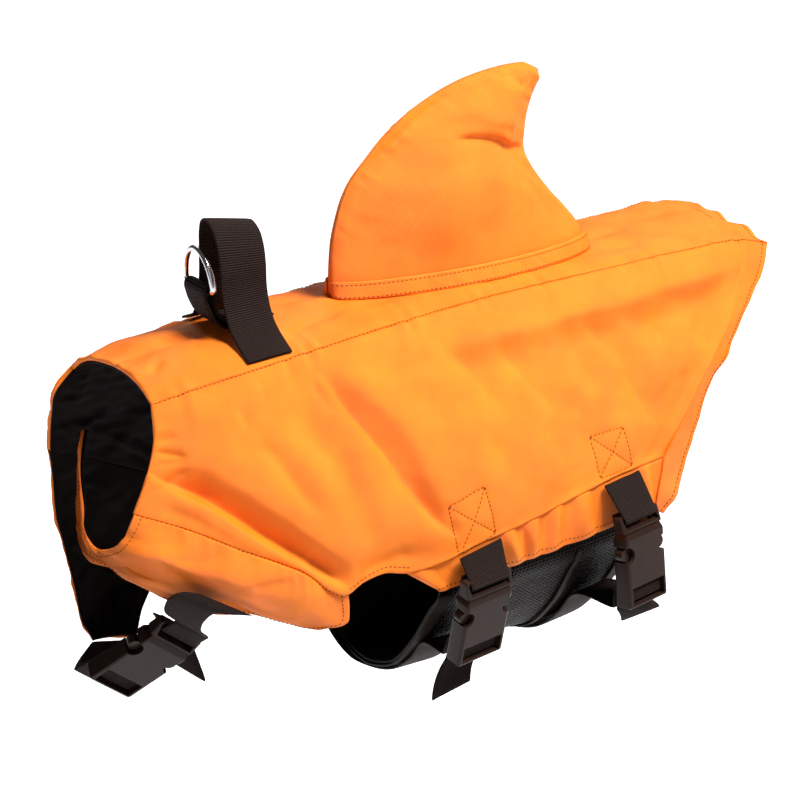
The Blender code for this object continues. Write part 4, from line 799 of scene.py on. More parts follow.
def webbing_finish(name, tones, roughness):
    """Nylon webbing: ribs across it, fine warp lines along it; the map runs along, then across."""
    made = Finish(name)
    flat = made.cloth_map()
    weave = made.weighted(made.bands(flat, 0.00125, "X", 0.15), made.bands(flat, 0.00075, "Y"), 0.55)
    fuzz = made.noise(900.0, Detail=3.0)
    return made.done({"Base Color": made.two_tone(weave, 0.2, 1.3, tones),
                      "Roughness": made.spread(fuzz, roughness - 0.08, roughness + 0.08),
                      "Normal": made.bump(made.weighted(weave, fuzz, 0.4), 0.00030)},
                     Specular_IOR_Level=0.06)


def hard_finish(name, tones, roughness, metallic, grain, depth, specular=0.5):
    """Moulded plastic or plated metal: a fine grain and faint wear in roughness and bump."""
    made = Finish(name)
    broad = made.noise(grain / 12, Detail=5.0, Roughness=0.65)
    return made.done({"Base Color": made.two_tone(broad, 0.35, 0.7, tones),
                      "Roughness": made.spread(broad, roughness - 0.06, roughness + 0.08),
                      "Normal": made.bump(made.noise(grain, Detail=4.0), depth)},
                     Metallic=metallic, Specular_IOR_Level=specular)


def thread_finish(name, tones):
    """Spun thread: a slanted twist and a little colour change from stitch to stitch."""
    made = Finish(name)
    twist = made.bands(made.place, 0.0005, "DIAGONAL")
    patch = made.noise(160.0)
    return made.done({"Base Color": made.two_tone(made.weighted(patch, twist, 0.25), 0.35, 0.85, tones),
                      "Roughness": made.spread(patch, 0.45, 0.65),
                      "Normal": made.bump(twist, 0.00006, strength=0.6)}, Specular_IOR_Level=0.10)


TWILL = 0.0013
ORANGE = cloth_finish("orange_satin_polyester", ((0.80, 0.140, 0.0003), (0.93, 0.210, 0.0010)),
                      roughness=0.50, pitch=0.00055, weave=0.00012, crumple=0.00012, specular=0.38)
LINING_CLOTH = cloth_finish("black_satin_lining", ((0.0030, 0.0012, 0.0012), (0.0070, 0.0034, 0.0034)),
                            roughness=0.34, pitch=0.00045, weave=0.00003, crumple=0.00030, specular=0.025)
NET_CLOTH = cloth_finish("black_net", ((0.004, 0.0020, 0.0013), (0.007, 0.0038, 0.0026)),
                         roughness=0.45, pitch=0.00060, weave=0.00006, crumple=0.00010, specular=0.05)
NET_BACKING = cloth_finish("black_net_backing", ((0.003, 0.0020, 0.0018), (0.006, 0.0040, 0.0035)),
                           roughness=0.8, pitch=0.00080, weave=0.00006, crumple=0.00008, specular=0.03)
BINDING = cloth_finish("black_binding_tape", ((0.012, 0.007, 0.005), (0.016, 0.0095, 0.007)),
                       roughness=0.60, pitch=0.00080, weave=0.00010, crumple=0.00010, specular=0.06)
BLACK_WEBBING = webbing_finish("black_nylon_webbing",
                               ((0.0022, 0.0012, 0.0010), (0.0240, 0.0140, 0.0115)), 0.60)
NYLON = hard_finish("moulded_black_nylon", ((0.0175, 0.0090, 0.0066), (0.0215, 0.0112, 0.0082)),
                    roughness=0.24, metallic=0.0, grain=1400.0, depth=0.00002, specular=0.11)
CHROME = hard_finish("plated_steel", ((0.62, 0.62, 0.64), (0.80, 0.80, 0.82)),
                     roughness=0.14, metallic=1.0, grain=700.0, depth=0.000006)
ORANGE_THREAD = thread_finish("orange_thread", ((0.16, 0.022, 0.001), (0.34, 0.050, 0.003)))


def dressed(obj, node=None, body="jacket"):
    """A piece on its body and the node of the model that it stands for, if any."""
    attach(obj, body)
    if node:
        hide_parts(node)
    return obj


# ---------------------------------------------------------------- padded shell
# walls that meet at a seam stop this far from it; as shares of a side panel and of the half back
SEAM_CRACK = 0.00006
SIDE_TRIM, BACK_TRIM = SEAM_CRACK / 0.11, SEAM_CRACK / HALF_BACK
# rows before the chest seam's end, over the leg hole and behind it, in the shell and in its lining
CHEST, LEG, HEM_RUN = 74, 16, 150
INNER_CHEST, INNER_LEG, INNER_RUN = 40, 8, 78
SIDE_COLUMNS, BACK_COLUMNS, INNER_SIDE, INNER_BACK = 96, 72, 60, 48
FLAP_ROWS = {-1: 150, 1: 120}
# creases deeper than this push the padding's inside and its lining
DEEP_CREASE = 0.0042


def soft_waves(base, seed, big, wave, small, fine, step=10):
    """Two sets of ripples: height and wavelength of the big ones, then of the small ones."""
    return big * ripples(base, seed, wave) + small * ripples(base, seed + step, fine)


def box_lines(box):
    a, b, c, d = np.array(box) * MM
    return [(a, b), (b, c), (c, d), (d, a), (a, c), (b, d)]


def seam_relief(distance, run, seed, groove=0.0003, puff=0.0004):
    """Beside a sewn seam: a groove, the padding's swelling behind it and small puckers across it."""
    pucker = 0.00050 * uneven(run, seed, 0.0095) * np.exp(-distance / 0.008)
    pucker = pucker * (1 - np.exp(-(distance / 0.0012)**2) * 0.7)
    return (-groove * np.exp(-distance / 0.0012) + puff * bell(distance - 0.0065, 0.0050) + pucker
            * (1 + 0.6 * uneven(run, seed + 7, 0.050)))


def box_relief(flat):
    """The stitched boxes: a groove along their lines, and the cloth a little lower around them."""
    relief = 0.0
    for box in STITCHED_BOXES:
        line = np.full(flat.shape[:-1], 1.0)
        for start, end in box_lines(box):
            t = np.clip(((flat - start) @ (end - start)) / np.sum((end - start)**2), 0, 1)
            line = np.minimum(line, np.linalg.norm(flat - start - t[..., None] * (end - start), axis=-1))
        near = bell(np.linalg.norm(flat - np.mean(np.array(box) * MM, 0), axis=-1), 0.022, 4)
        relief = relief + 0.0006 * bell(line, 0.0013) + 0.0005 * near
    return relief


def pressed(x, y, box, soft=0.004):
    """1 inside a rectangle, easing to 0 over soft outside it."""
    a, b, c, d = np.array(box) * MM
    return (ease((x - a) / soft + 1) * ease((c - x) / soft + 1)
            * ease((y - b) / soft + 1) * ease((d - y) / soft + 1))


def side_base(side, rows, columns, chest):
    """A side panel's flat grid, its points on the body and its directions, shared at its seams."""
    flat = side_flat(side, *lattice(rows, np.linspace(SIDE_TRIM, 1 - SIDE_TRIM, columns)))
    base = on_side(side, flat)
    normals = grid_normals(base)
    normals[:, 0] = back_seam_normals(side, rows)
    normals[:chest, -1] = chest_seam_normals(side, rows[:chest] / rows[chest - 1])
    folds = creased(FOLDS[side], flat[..., 0], flat[..., 1])
    return flat, base, normals, folds, np.maximum(-folds - DEEP_CREASE, 0)


def side_panel(side, tag):
    """Padded side: the body's side plus relief along its normals, over its own inner face."""
    rows = fine_rows(side, CHEST, LEG, HEM_RUN)
    flat, base, normals, folds, push = side_base(side, rows, SIDE_COLUMNS, CHEST)
    neck, rear, top, low = margins(base)
    free = ease((rows[:, None] - rows[CHEST - 1]) / 0.03)
    quiet = ease(top / 0.006) * ease(rear / 0.008) * (0.2 + 0.8 * ease(low / 0.008))
    waves = soft_waves(base, 11 + side, 0.00045, 0.030, 0.00016, 0.011)
    relief = folds * quiet + waves * (0.35 + 0.65 * quiet)
    relief = relief + seam_relief(top, neck, 31 + side) + seam_relief(low, neck, 41 + side) * (1 - free)
    relief = relief - eased(neck, NECK_RIM) - eased(rear, REAR_RIM) - eased(low, LOW_RIM) * free
    hem = 0.00060 * uneven(neck, 51 + side, 0.014) * np.exp(-low / 0.007) * (1 - np.exp(-low / 0.002))
    relief = relief + (hem + 0.0007 * bell(low - 0.0010, 0.0009)) * free
    relief = relief + 0.0003 * uneven(top, 61 + side, 0.014) * np.exp(-neck / 0.006) - box_relief(flat)
    skirt = np.where(rows[:-1] >= rows[CHEST - 1] - 1e-9, 0.25, 0.0)
    made, outer = thick("side_cloth_" + tag, base, normals, relief, PAD + push, flat, ORANGE,
                        (0.6, skirt, 0.3, 0.0))
    dressed(made, "side_panel_" + tag)
    sew_edge(outer, 0.0001, last=False)
    sew_edge(outer, 0.0001, end=CHEST - 2)
    sew_edge(outer, 0.0036, start=CHEST - 2, end=CHEST + LEG)
    for box in STITCHED_BOXES:
        for start, end in box_lines(box):
            sew_across(outer, flat, start, end)


def lining(name, node, base, normals, depth, uv, seed, bulge, share=1.0, every=1):
    """Satin wall behind the padding; its free inner face has soft swells with sharper ridges where
    a slow wave nears its crest, fading out at its edges."""
    rim = np.minimum.reduce(margins(base))
    sharp = np.exp(-(ripples(base, seed + 3, 0.024) / 0.28)**2)
    swell = 0.0009 * ripples(base, seed, 0.034) + 0.0010 * sharp + 0.0003 * ripples(base, seed + 5, 0.009)
    wrinkle = share * swell * ease(rim / 0.010)
    deep = depth + GAP + 0 * rim
    kept = [np.unique(np.append(np.arange(0, count, every), count - 1)) for count in rim.shape]
    base, normals, deep, wrinkle, uv = (grid[np.ix_(*kept)] for grid in (base, normals, deep, wrinkle, uv))
    made, _ = thick(name, base, normals, -deep, deep + LINING + wrinkle, uv, LINING_CLOTH, bulge)
    dressed(made, node)


def side_lining(side, tag):
    rows = fine_rows(side, INNER_CHEST, INNER_LEG, INNER_RUN)
    flat, base, normals, _, push = side_base(side, rows, INNER_SIDE, INNER_CHEST)
    lining("side_inner_" + tag, "side_lining_" + tag, base, normals, PAD + push, flat, 71 + side,
           (0.5, 0.3, 0.5, 0.0))


def back_base(rows, columns):
    """The back's grid and its directions, shared at both seams."""
    base = back_points(*lattice(rows, np.linspace(-1, 1, columns) * (1 - BACK_TRIM)))
    normals = grid_normals(base)
    normals[:, 0], normals[:, -1] = back_seam_normals(-1, rows), back_seam_normals(1, rows)
    return base, normals


def back_panel():
    """Padded back between the back seams, pressed flat under the fin, the handle and the loop."""
    base, normals = back_base(fine_rows(-1, CHEST, LEG, HEM_RUN), BACK_COLUMNS)
    neck, rear, left, right = margins(base)
    x, y = base[..., 0], base[..., 1]
    relief = creased(BACK_FOLDS, x, y) + soft_waves(base, 81, 0.00045, 0.026, 0.00015, 0.010, step=1)
    relief = relief + seam_relief(left, neck, 30) + seam_relief(right, neck, 32)
    held = np.clip(sum(pressed(x, y, box) for box in PRESSED), 0, 1)
    share = np.clip((x - FIN_FRONT) / (FIN_REAR - FIN_FRONT), 0, 1)
    foot = FIN_SEAM + (FIN_HALF - FIN_SEAM) * (4 * share * (1 - share))**FIN_ROUND + 0.002
    under = (ease((foot - np.abs(y - FIN_SKEW * share)) / 0.005 + 1) * ease((x - FIN_FRONT) / 0.004 + 1)
             * ease((FIN_REAR - x) / 0.004 + 1))
    relief = (relief * (1 - held) - 0.0003 * held) * (1 - under) - 0.0002 * under
    relief = relief - eased(neck, NECK_RIM) - eased(rear, REAR_RIM)
    relief = relief + 0.0004 * uneven(left, 84, 0.010) * np.exp(-neck / 0.006)
    made, outer = thick("back_cloth", base, normals, relief, PAD, base[..., :2], ORANGE, (0.6, 0, 0.5, 0))
    dressed(made, "back_panel")
    sew_edge(outer, 0.0001)


def back_lining():
    base, normals = back_base(fine_rows(-1, INNER_CHEST, INNER_LEG, INNER_RUN), INNER_BACK)
    lining("back_inner", "back_lining", base, normals, PAD, base[..., :2], 91, (0.5, 0, 0.5, 0))


def chest_flap(side, tag):
    """Padded flap and its lining below the chest seam."""
    t = fine_rows(side, CHEST, LEG, HEM_RUN)[:CHEST]
    t = t / t[-1]
    base = flap_points(side, *lattice(np.linspace(0, 1, FLAP_ROWS[side]), t))
    normals = grid_normals(base)
    normals[0] = chest_seam_normals(side, t)
    base[0] = base[0] + unit(base[1] - base[0]) * SEAM_CRACK
    run = lengths(base)
    seam, end, rim, low = margins(base)
    relief = creased(FLAP_FOLDS, seam, rim) * SHARE_OF_FOLDS[side] * ease(rim / 0.010) * ease(low / 0.010)
    relief = relief + soft_waves(base, 101 + side, 0.00050, 0.024, 0.00018, 0.010)
    relief = relief + seam_relief(seam, rim[:1] + 0 * seam, 41 + side)
    near = np.exp(-rim / 0.006) + np.exp(-low / 0.006)
    relief = relief + 0.0003 * uneven(seam, 121 + side, 0.014) * near
    thinner = eased(rim, NECK_RIM) + eased(low, LOW_RIM) + eased(end, REAR_RIM)
    relief = np.maximum(relief - np.minimum(thinner, FLAP_PAD - LINING), -FLAP_PAD + 0.0006)
    made, outer = thick("chest_cloth_" + tag, base, normals, relief, FLAP_PAD, run, ORANGE,
                        (0.0, 0.6, 0.6, 0.6))
    dressed(made, "chest_flap_" + tag)
    sew_edge(outer, 0.0034, last=False)
    sew_edge(outer, 0.0034)
    lining("chest_inner_" + tag, "chest_lining_" + tag, base, normals, FLAP_PAD, run, 131 + side,
           (0.0, 0.5, 0.5, 0.5), share=0.8, every=2)


# ---------------------------------------------------------------- hem strips and flanges
def hem_strip(side, tag):
    """Gathered strip below the fold line; it lies flat where the straps cross it."""
    rows = fine_rows(side, CHEST, LEG, HEM_RUN + 60)[CHEST + LEG - 2:]
    top = along(low_edge(side), rows)
    low = along(table(HEM), (rows - rows[0]) / (rows[-1] - rows[0]))
    down = np.linspace(0.016, 1.0, 22)[None, :, None]
    flat = top[:, None] * (1 - down) + low[:, None] * down
    flat[-1, :, 0] -= GAP
    x, down = flat[..., 0], np.broadcast_to(down[..., 0], flat.shape[:-1])
    gather = 0.0
    for x_top, lean, half, height in table(HEM_GATHERS):
        centre = x_top + (0.0 if side < 0 else 0.003) + lean * down
        gather = gather + height * bell(x - centre, half * (1 + 0.35 * down))
    gather = 1.4 * gather * np.sin(np.pi * np.clip(0.12 + 0.80 * down, 0, 1))
    gather = gather + 0.0003 * uneven(x, 141 + side, 0.020) * ease(down * 2)
    for sewn in SEWN.values():
        gather = gather * ease((np.abs(x - sewn) - 0.0128) / 0.005)
    gather = gather * ease((rows - rows[0]) / 0.01)[:, None] * ease((rows[-1] - rows) / 0.01)[:, None]
    base = on_side(side, flat)
    made, outer = thick("hem_cloth_" + tag, base, grid_normals(base), np.maximum(gather, -0.0008) - HEM_SET,
                        HEM_SET + CLOTH - 0.85 * np.maximum(gather, 0), flat, ORANGE, (0.3, 0.8, 0.3, 0.0))
    dressed(made, "hem_strip_" + tag)
    sew_edge(outer, 0.0030)


def flange(base, normals, tag, seed, ends):
    """Stitched edge behind the padding: a thin strip that waves more towards its outer edge."""
    start, end, across, rest = margins(base)
    share = across / (across + rest)
    wave = (0.0010 * uneven(start, seed, 0.030) + 0.0001 * uneven(start, seed + 1, 0.012)) * share
    wave = wave * ease(start / 0.012) * ease(end / 0.012) - 0.0005 * bell(rest - 0.0030, 0.0012)
    top = FLANGE_SET - 0.0004 - wave
    low = top + CLOTH - 0.0004
    made, outer = thick("rear_edge_" + tag, base, normals, -top, low, lengths(base), ORANGE, ends)
    dressed(made, "rear_flange_" + tag)
    sew_edge(outer, 0.0030)


def side_flange_points(side, count, columns):
    """Middle of the stitched edge behind the side's padding, from the back seam to the hem."""
    pads = round(count * 10 / 14)
    pad_end = along(table(PAD_END), np.linspace(SIDE_TRIM, 1, pads))
    more = np.linspace(0, 1, count - pads + 1)[1:, None]
    inner_edge = np.concatenate([pad_end, pad_end[-1] * (1 - more) + table(FLANGE_INNER_END)[-1] * more])
    outer_edge = along(table(FLANGE_OUTER), np.linspace(0, 1, count))
    inner_edge = inner_edge + unit(outer_edge - inner_edge) * FLANGE_GAP
    share = np.linspace(-0.16, 1, columns)[None, :, None]
    return on_side(side, inner_edge[:, None] * (1 - share) + outer_edge[:, None] * share)


def flanges():
    """Left, back and right flange share their directions at the back seams."""
    across = np.linspace(-1, 1, BACK_COLUMNS)[:, None] * (1 - BACK_TRIM)
    x = np.linspace(BACK_LENGTH - 0.0008, FLANGE_OUTER[0].x * MM, 10)[None] + 0 * across
    back = over_back(x, across)
    back_n = grid_normals(back)
    for (side, tag), end in zip(SIDES, (0, -1)):
        base = side_flange_points(side, 150, 10)
        normals = grid_normals(base)
        normals[0] = back_n[end] = mitre(normals[0], back_n[end])
        flange(base, normals, tag, 151 + side, (0.0, 0.9, 0.5, 0.3))
    flange(back, back_n, "back", 161, (0.0, 0.9, 0.0, 0.3))


# ---------------------------------------------------------------- belly net
def belly_points(x, turn, lift=0.0):
    """Net under the belly: turn -1 at the left hem, 1 at the right hem; lift moves it outwards."""
    data = table(SAG, plain=("across", "depth"))
    knots = np.linspace(-1, 1, len(data))
    section = smooth(knots, data, turn)
    ahead, behind = (smooth(knots, data, np.clip(turn + step, -1, 1)) for step in (0.01, -0.01))
    half = half_width(x, -0.1335 + 0 * x) - HEM_SET - CLOTH - 0.0009 - MESH / 2
    depth = smooth(*table(BELLY).T, x)
    way = ahead - behind
    normal = unit(np.stack([-way[..., 1] * depth, -way[..., 0] * half], -1))
    y = half * section[..., 0] + lift * normal[..., 0]
    z = BELLY_TOP - depth * section[..., 1] + lift * normal[..., 1]
    return np.stack([x + 0 * y, y, z], -1)


def slanted(x, turn):
    """The net's rows slant less and less from its front edge to 0.2 m along the body."""
    slant = np.interp(turn, *table(BELLY_SLANT, plain=("turn",)).T)
    return x + slant * np.clip((0.200 - x) / 0.064, 0, 1)


def even_turns(count, reach=1.0):
    """Turns at equal steps of the net's own length."""
    turn = np.linspace(-1, 1, 600) * reach
    run = reach_of(belly_points(0.21 + 0 * turn, turn))
    return np.interp(np.linspace(0, run[-1], count), run, turn)


def belly_wall(name, start, end, rows, turns, lifts, finish, bulge=(0, 0, 0, 0), bow=0.0, along_it=1):
    """A strip across the net from start to end along the body, between two lifts off the net; bow
    pushes its middle back, and along_it -1 lets its cloth run across it."""
    x, turn = lattice(np.linspace(start, end, rows), turns)
    x = slanted(x, turn) + bow * (1 - turn**2)
    outer, inner = (belly_points(x, turn, lift) for lift in lifts)
    return wall(name, outer, inner, lengths(outer)[..., ::along_it], finish, bulge)


def belly_net():
    """Open net: every second cell of every second row of a fine grid is a hole, and a thin backing."""
    pairs = int((BELLY_REAR - BELLY_FRONT) / (NET_STRAND + NET_HOLE))
    steps = np.append(np.tile([NET_STRAND, NET_HOLE], pairs), NET_STRAND)
    x = np.concatenate([[0], np.cumsum(steps)])
    x = BELLY_FRONT + x * (BELLY_REAR - BELLY_FRONT) / x[-1]
    turns = even_turns(213)
    count = np.arange(len(turns))
    turn = np.interp(count - 0.15 * (count % 2), count, turns)
    xx, tt = lattice(x, turn)
    grid = belly_points(slanted(xx, tt), tt)
    index = np.arange(xx.size).reshape(xx.shape)
    i, j = lattice(np.arange(len(x) - 1), np.arange(len(turn) - 1))
    kept = ~((i % 2 == 1) & (j % 2 == 1))
    corners = (index[:-1, :-1], index[:-1, 1:], index[1:, 1:], index[1:, :-1])
    faces = quads(*(corner[kept] for corner in corners))
    uv = np.stack([xx, np.broadcast_to(reach_of(belly_points(0.21 + 0 * turn, turn)), xx.shape)], -1)
    made = piece("belly_mesh_cloth", grid.reshape(-1, 3), faces.tolist(), NET_CLOTH, uv.reshape(-1, 2))
    thread = made.modifiers.new("thickness", "SOLIDIFY")
    thread.thickness, thread.offset = NET_THREAD, 0
    dressed(made, "belly_net")
    made = belly_wall("belly_net_backing", BELLY_FRONT, BELLY_REAR, 40, even_turns(180),
                      (-0.0006, -0.0011), NET_BACKING)
    dressed(made)


def belly_tapes():
    """Binding tape over the net's two edges, and two narrow bound seams that curve between them."""
    lift = MESH / 2 + GAP + TAPE / 2
    bulge = (0.8, 0.3, 0.8, 0.3)
    for tag, start in (("front", BELLY_FRONT - 0.001), ("rear", BELLY_REAR - BELLY_TAPE + 0.001)):
        made = belly_wall("belly_tape_%s_cloth" % tag, start, start + BELLY_TAPE, 7, even_turns(150, 0.82),
                          (lift + TAPE / 2, lift - TAPE / 2), BINDING, bulge, along_it=-1)
        dressed(made, "belly_tape_" + tag)
    for tag, start in (("front", 0.176), ("rear", 0.222)):
        made = belly_wall("belly_seam_" + tag, start, start + BELLY_SEAM, 5, even_turns(120, 0.80),
                          (lift + TAPE / 3, lift - TAPE / 3), BINDING, bulge, bow=0.010, along_it=-1)
        dressed(made)


# ---------------------------------------------------------------- fin
def fin_middle(rise, chord):
    """Middle plane of the fin: rise 0 base to 1 tip, chord 0 leading edge to 1 trailing edge."""
    flat = (along(table(FIN_LEAD), rise) * (1 - chord[..., None])
            + along(table(FIN_TRAIL), rise) * chord[..., None])
    y = FIN_SKEW * np.clip((flat[..., 0] - FIN_FRONT) / (FIN_REAR - FIN_FRONT), 0, 1) * (1 - rise)
    return np.stack([flat[..., 0], y, flat[..., 1]], -1)


def fin_half(rise, chord):
    """Half thickness: a lens along the chord, full at the base and thin at the tip."""
    lens = np.clip(4 * chord * (1 - chord), 0, 1)**(FIN_ROUND + 0.36 * ease(rise / 0.3))
    height = (1 - 0.62 * rise) * (1 - 0.25 * rise**4) + 0.27 * bell(rise - 0.48, 0.28)
    return FIN_SEAM + (FIN_HALF - FIN_SEAM) * lens * height


def fin_face(side, tag):
    """One padded half of the fin, from the middle plane to its bulged face."""
    even = np.linspace(0, 1, 96)
    crowded = 0.5 - 0.5 * np.cos(np.pi * even)
    rise, chord = lattice(np.linspace(0, 1, 110), 0.55 * crowded + 0.45 * even)
    middle = fin_middle(rise, chord)
    base, tip, lead, trail = margins(middle)
    rim = np.minimum.reduce((tip, lead, trail))
    x, z = middle[..., 0], middle[..., 2]
    shift = 0.0 if side < 0 else 0.004
    relief = creased(FIN_FOLDS, x + shift, z) * SHARE_OF_FOLDS[side] * ease(rim / 0.004)
    relief = relief + 0.0005 * ripples(middle, 171 + side, 0.030)
    pucker = np.exp(-rim / 0.006) * ease(rim / 0.003)
    relief = relief + 0.0007 * uneven(x + z, 181 + side, 0.010) * pucker
    relief = relief + 0.0006 * bell(rim - 0.0040, 0.0022) * ease(base / 0.010)
    relief = relief * ease((base - 0.008) / 0.032)
    face, near = middle.copy(), middle.copy()
    face[..., 1] += side * np.maximum(fin_half(rise, chord) + relief, 0.0009)
    near[..., 1] += side * GAP / 2
    for grid in (face, near):
        floor = back_height(grid[..., 0], grid[..., 1]) + FIN_SEAT
        grid[..., 2] = np.where(rise == 0, floor, np.maximum(grid[..., 2], floor + 0.004 * rise))
    made = wall("fin_cloth_" + tag, face, near, middle[..., ::2], ORANGE)
    dressed(made, "fin_face_" + tag)


def fin_band(side, tag):
    """Stitched band that holds the base of the fin to the back; its foot flares, with small wrinkles."""
    chord, step = lattice(np.linspace(0, 1, 150), np.linspace(0, 1, 12))
    low = fin_middle(0 * chord, chord)
    low[..., 1] += side * (fin_half(0 * chord, chord) + GAP + 0.0004 * (1 - step))
    run = lengths(low)[..., 0]
    out = 0.0014 + 0.0026 * (1 - step) - 0.00020 * bell(step - 0.85, 0.06)
    out = out + 0.00016 * uneven(run + 0.002 * step, 191 + side, 0.009) * np.sin(np.pi * step)
    floor = back_height(low[..., 0], low[..., 1]) + FIN_SEAT
    low[..., 2] = floor + step * FIN_BAND - 0.0008 * (1 - step)
    outer = low + np.stack([0 * out, side * out, 0 * out], -1)
    made = wall("fin_base_band_" + tag, outer, low, np.stack([run, step * FIN_BAND], -1), ORANGE,
                (0.2, 0.7, 0.2, 0.3))
    dressed(made, "fin_band_" + tag)
    sew_edge(outer, 0.0009, last=False)
    sew_edge(outer, 0.0013)


# ---------------------------------------------------------------- webbing
HALF_WEB = WEBBING_WIDTH / 2


def strap(node, edges):
    """Webbing between two edge curves, a little thinner at its rounded selvedges."""
    edge_a, edge_b = edges
    middle = (edge_a + edge_b) / 2
    normals = unit(np.cross(np.gradient(middle, axis=0), edge_b - edge_a))
    t = np.linspace(0, 1, 11)
    base = edge_a[:, None] * (1 - t[:, None]) + edge_b[:, None] * t[:, None]
    deep = WEBBING / 2 * (1 - 0.22 * np.abs(2 * t - 1)**8)
    uv = np.stack(np.broadcast_arrays(reach_of(middle)[:, None], t * WEBBING_WIDTH), -1)
    made, _ = thick(node + "_webbing", base, normals[:, None], deep, deep, uv, BLACK_WEBBING,
                    (0.3, 0.9, 0.3, 0.9))
    dressed(made, node)


def rounded(path, steps=9):
    """A path of straight runs in millimetres, in metres and with arcs for corners."""
    points = np.array(path) * MM
    made = [points[0]]
    for before, corner, after in zip(points[:-2], points[1:-1], points[2:]):
        back, ahead = unit(before - corner), unit(after - corner)
        turn = math.pi - math.acos(float(np.clip(np.dot(back, ahead), -1, 1)))
        cut = BEND * math.tan(turn / 2)
        centre = corner + unit(back + ahead) * BEND / math.cos(turn / 2)
        start, end = corner + back * cut - centre, corner + ahead * cut - centre
        for t in np.linspace(0, 1, steps):
            share, rest = math.sin(t * turn) / math.sin(turn), math.sin((1 - t) * turn) / math.sin(turn)
            made.append(centre + rest * start + share * end)
    made.append(points[-1])
    return np.array(made)


def buckle_frame(buckle):
    """A buckle's axes: x across, y towards the plug, z outwards; its middle lies under its face."""
    up = Vector(buckle.up).normalized()
    across = Vector(buckle.across)
    across = (across - up * across.dot(up)).normalized()
    out = across.cross(up)
    turn = Matrix((across, up, out)).transposed().to_4x4()
    return Matrix.Translation(Vector(buckle.face) * MM - out * BUCKLE_THICK / 2) @ turn


def in_buckle(buckle, path):
    """The two edges of webbing whose middle is given in a buckle's own y, z."""
    place = buckle_frame(buckle)
    return [np.array([place @ Vector((k, y, z)) for y, z in rounded(path)])
            for k in (-HALF_WEB, HALF_WEB)]


def joined(lead, exact, count):
    """A smooth lead that runs into an exact path, sampled with count rows before it."""
    knots = np.concatenate([lead, exact[:1]])
    return np.concatenate([along(knots, np.linspace(0, 1, count))[:-1], exact])


def tailed(edge, end, count=24):
    """An edge with its hanging free end: it leaves as the edge ran and bends towards its cut end."""
    start = edge[-1]
    t = np.linspace(0, 1, count)[1:, None]
    middle = start + unit(start - edge[-2]) * 0.003 + (end - start) * np.array([0.75, 0.4, 0.3])
    return np.concatenate([edge, (1 - t)**2 * start + 2 * t * (1 - t) * middle + t**2 * end])


def over_hem(side, x, share, out):
    """Points on the outside of a hem strip, share 0 at the fold line to 1 at the hem."""
    fold, hem = smooth(*table(FOLD_LINE).T, x), smooth(*table(HEM).T, x)
    point = on_side(side, np.stack([x, fold - 0.0014 + (hem - fold) * share], -1))
    point[..., 1] += side * (out - HEM_SET + 0.0010)
    return point


def grab_handle():
    """Webbing sewn down at both seams; its rear edge leans to the left and lower at the top."""
    y, lift = along(table(HANDLE), np.linspace(0, 1, 190)).T
    rise = (lift / HANDLE_TOP)**2
    edges = []
    for k, share in ((-HALF_WEB, 0.0), (HALF_WEB, 1.0)):
        x = HANDLE_X + k + 0 * rise
        edges.append(np.stack([x, y + HANDLE_TWIST[0] * rise * share,
                               back_height(x, y) + lift + HANDLE_TWIST[1] * rise * share], -1))
    strap("grab_handle", edges)


def ring_loop():
    """Webbing from the back, up round the ring's bar and down again on itself."""
    bar_x, bar_y, bar_z = RING_BAR
    hug = RING_WIRE + GAP + WEBBING / 2 + 0.0002
    floor = float(back_height(np.array(0.070), np.array(0.0))) + WEBBING / 2 + 2 * GAP
    second = floor + WEBBING + 2 * GAP
    up = [(0.0860, floor), (0.0740, floor), (0.0645, floor + 0.0003), (0.0580, 0.0165),
          (0.0533, 0.0210), (0.0504, 0.0270), (0.0488, 0.0330)]
    turn = [(bar_x + hug * math.cos(a), bar_z + hug * math.sin(a))
            for a in np.radians((180, 135, 90, 45, 0))]
    down = [(0.0537, 0.0330), (0.0536, 0.0275), (0.0556, 0.0225), (0.0600, second + 0.0020),
            (0.0660, second + 0.0004), (0.0740, second), (0.0860, second)]
    x, z = along(np.array(up + turn + down), np.linspace(0, 1, 170)).T
    strap("ring_loop", [np.stack([x, bar_y + k + 0 * x, z], -1) for k in (-LOOP_HALF, LOOP_HALF)])


def upper_strap(buckle):
    """From under the shell's fold line, over the hem strip, round the plug's frame."""
    edges = []
    step = np.array([[0.0], [0.25], [0.5], [0.75]])
    for k, end in zip((-HALF_WEB, HALF_WEB), in_buckle(buckle, (UPPER_START,) + PLUG_PATH[1:])):
        start = over_hem(-1, np.array([SEWN[buckle.name] + k]), 0.0, 2 * GAP + WEBBING / 2)
        edges.append(joined(start * (1 - step) + end[:1] * step, end, 26))
    strap("strap_%s_upper" % buckle.name, edges)


def lower_strap(buckle):
    """From the right hem under the belly, round the socket's bar, and the free end."""
    lift = MESH / 2 + 2 * GAP + TAPE + WEBBING / 2 + 0.0007
    turn = np.array([0.72, 0.60, 0.45, 0.28, 0.10, -0.08, -0.22, -0.34])
    edges = []
    for k, end, cut in zip((-HALF_WEB, HALF_WEB), in_buckle(buckle, SOCKET_PATH), TAILS[buckle.name]):
        x = SEWN[buckle.name] + k
        side = over_hem(1, np.full(4, x), np.array([0.0, 0.35, 0.7, 0.95]), GAP + WEBBING / 2)
        under = belly_points(x + (end[0, 0] - x) * np.linspace(0, 0.7, len(turn)), turn, lift)
        edges.append(tailed(joined(np.concatenate([side, under]), end, 150), np.array(cut) * MM))
    strap("strap_%s_lower" % buckle.name, edges)


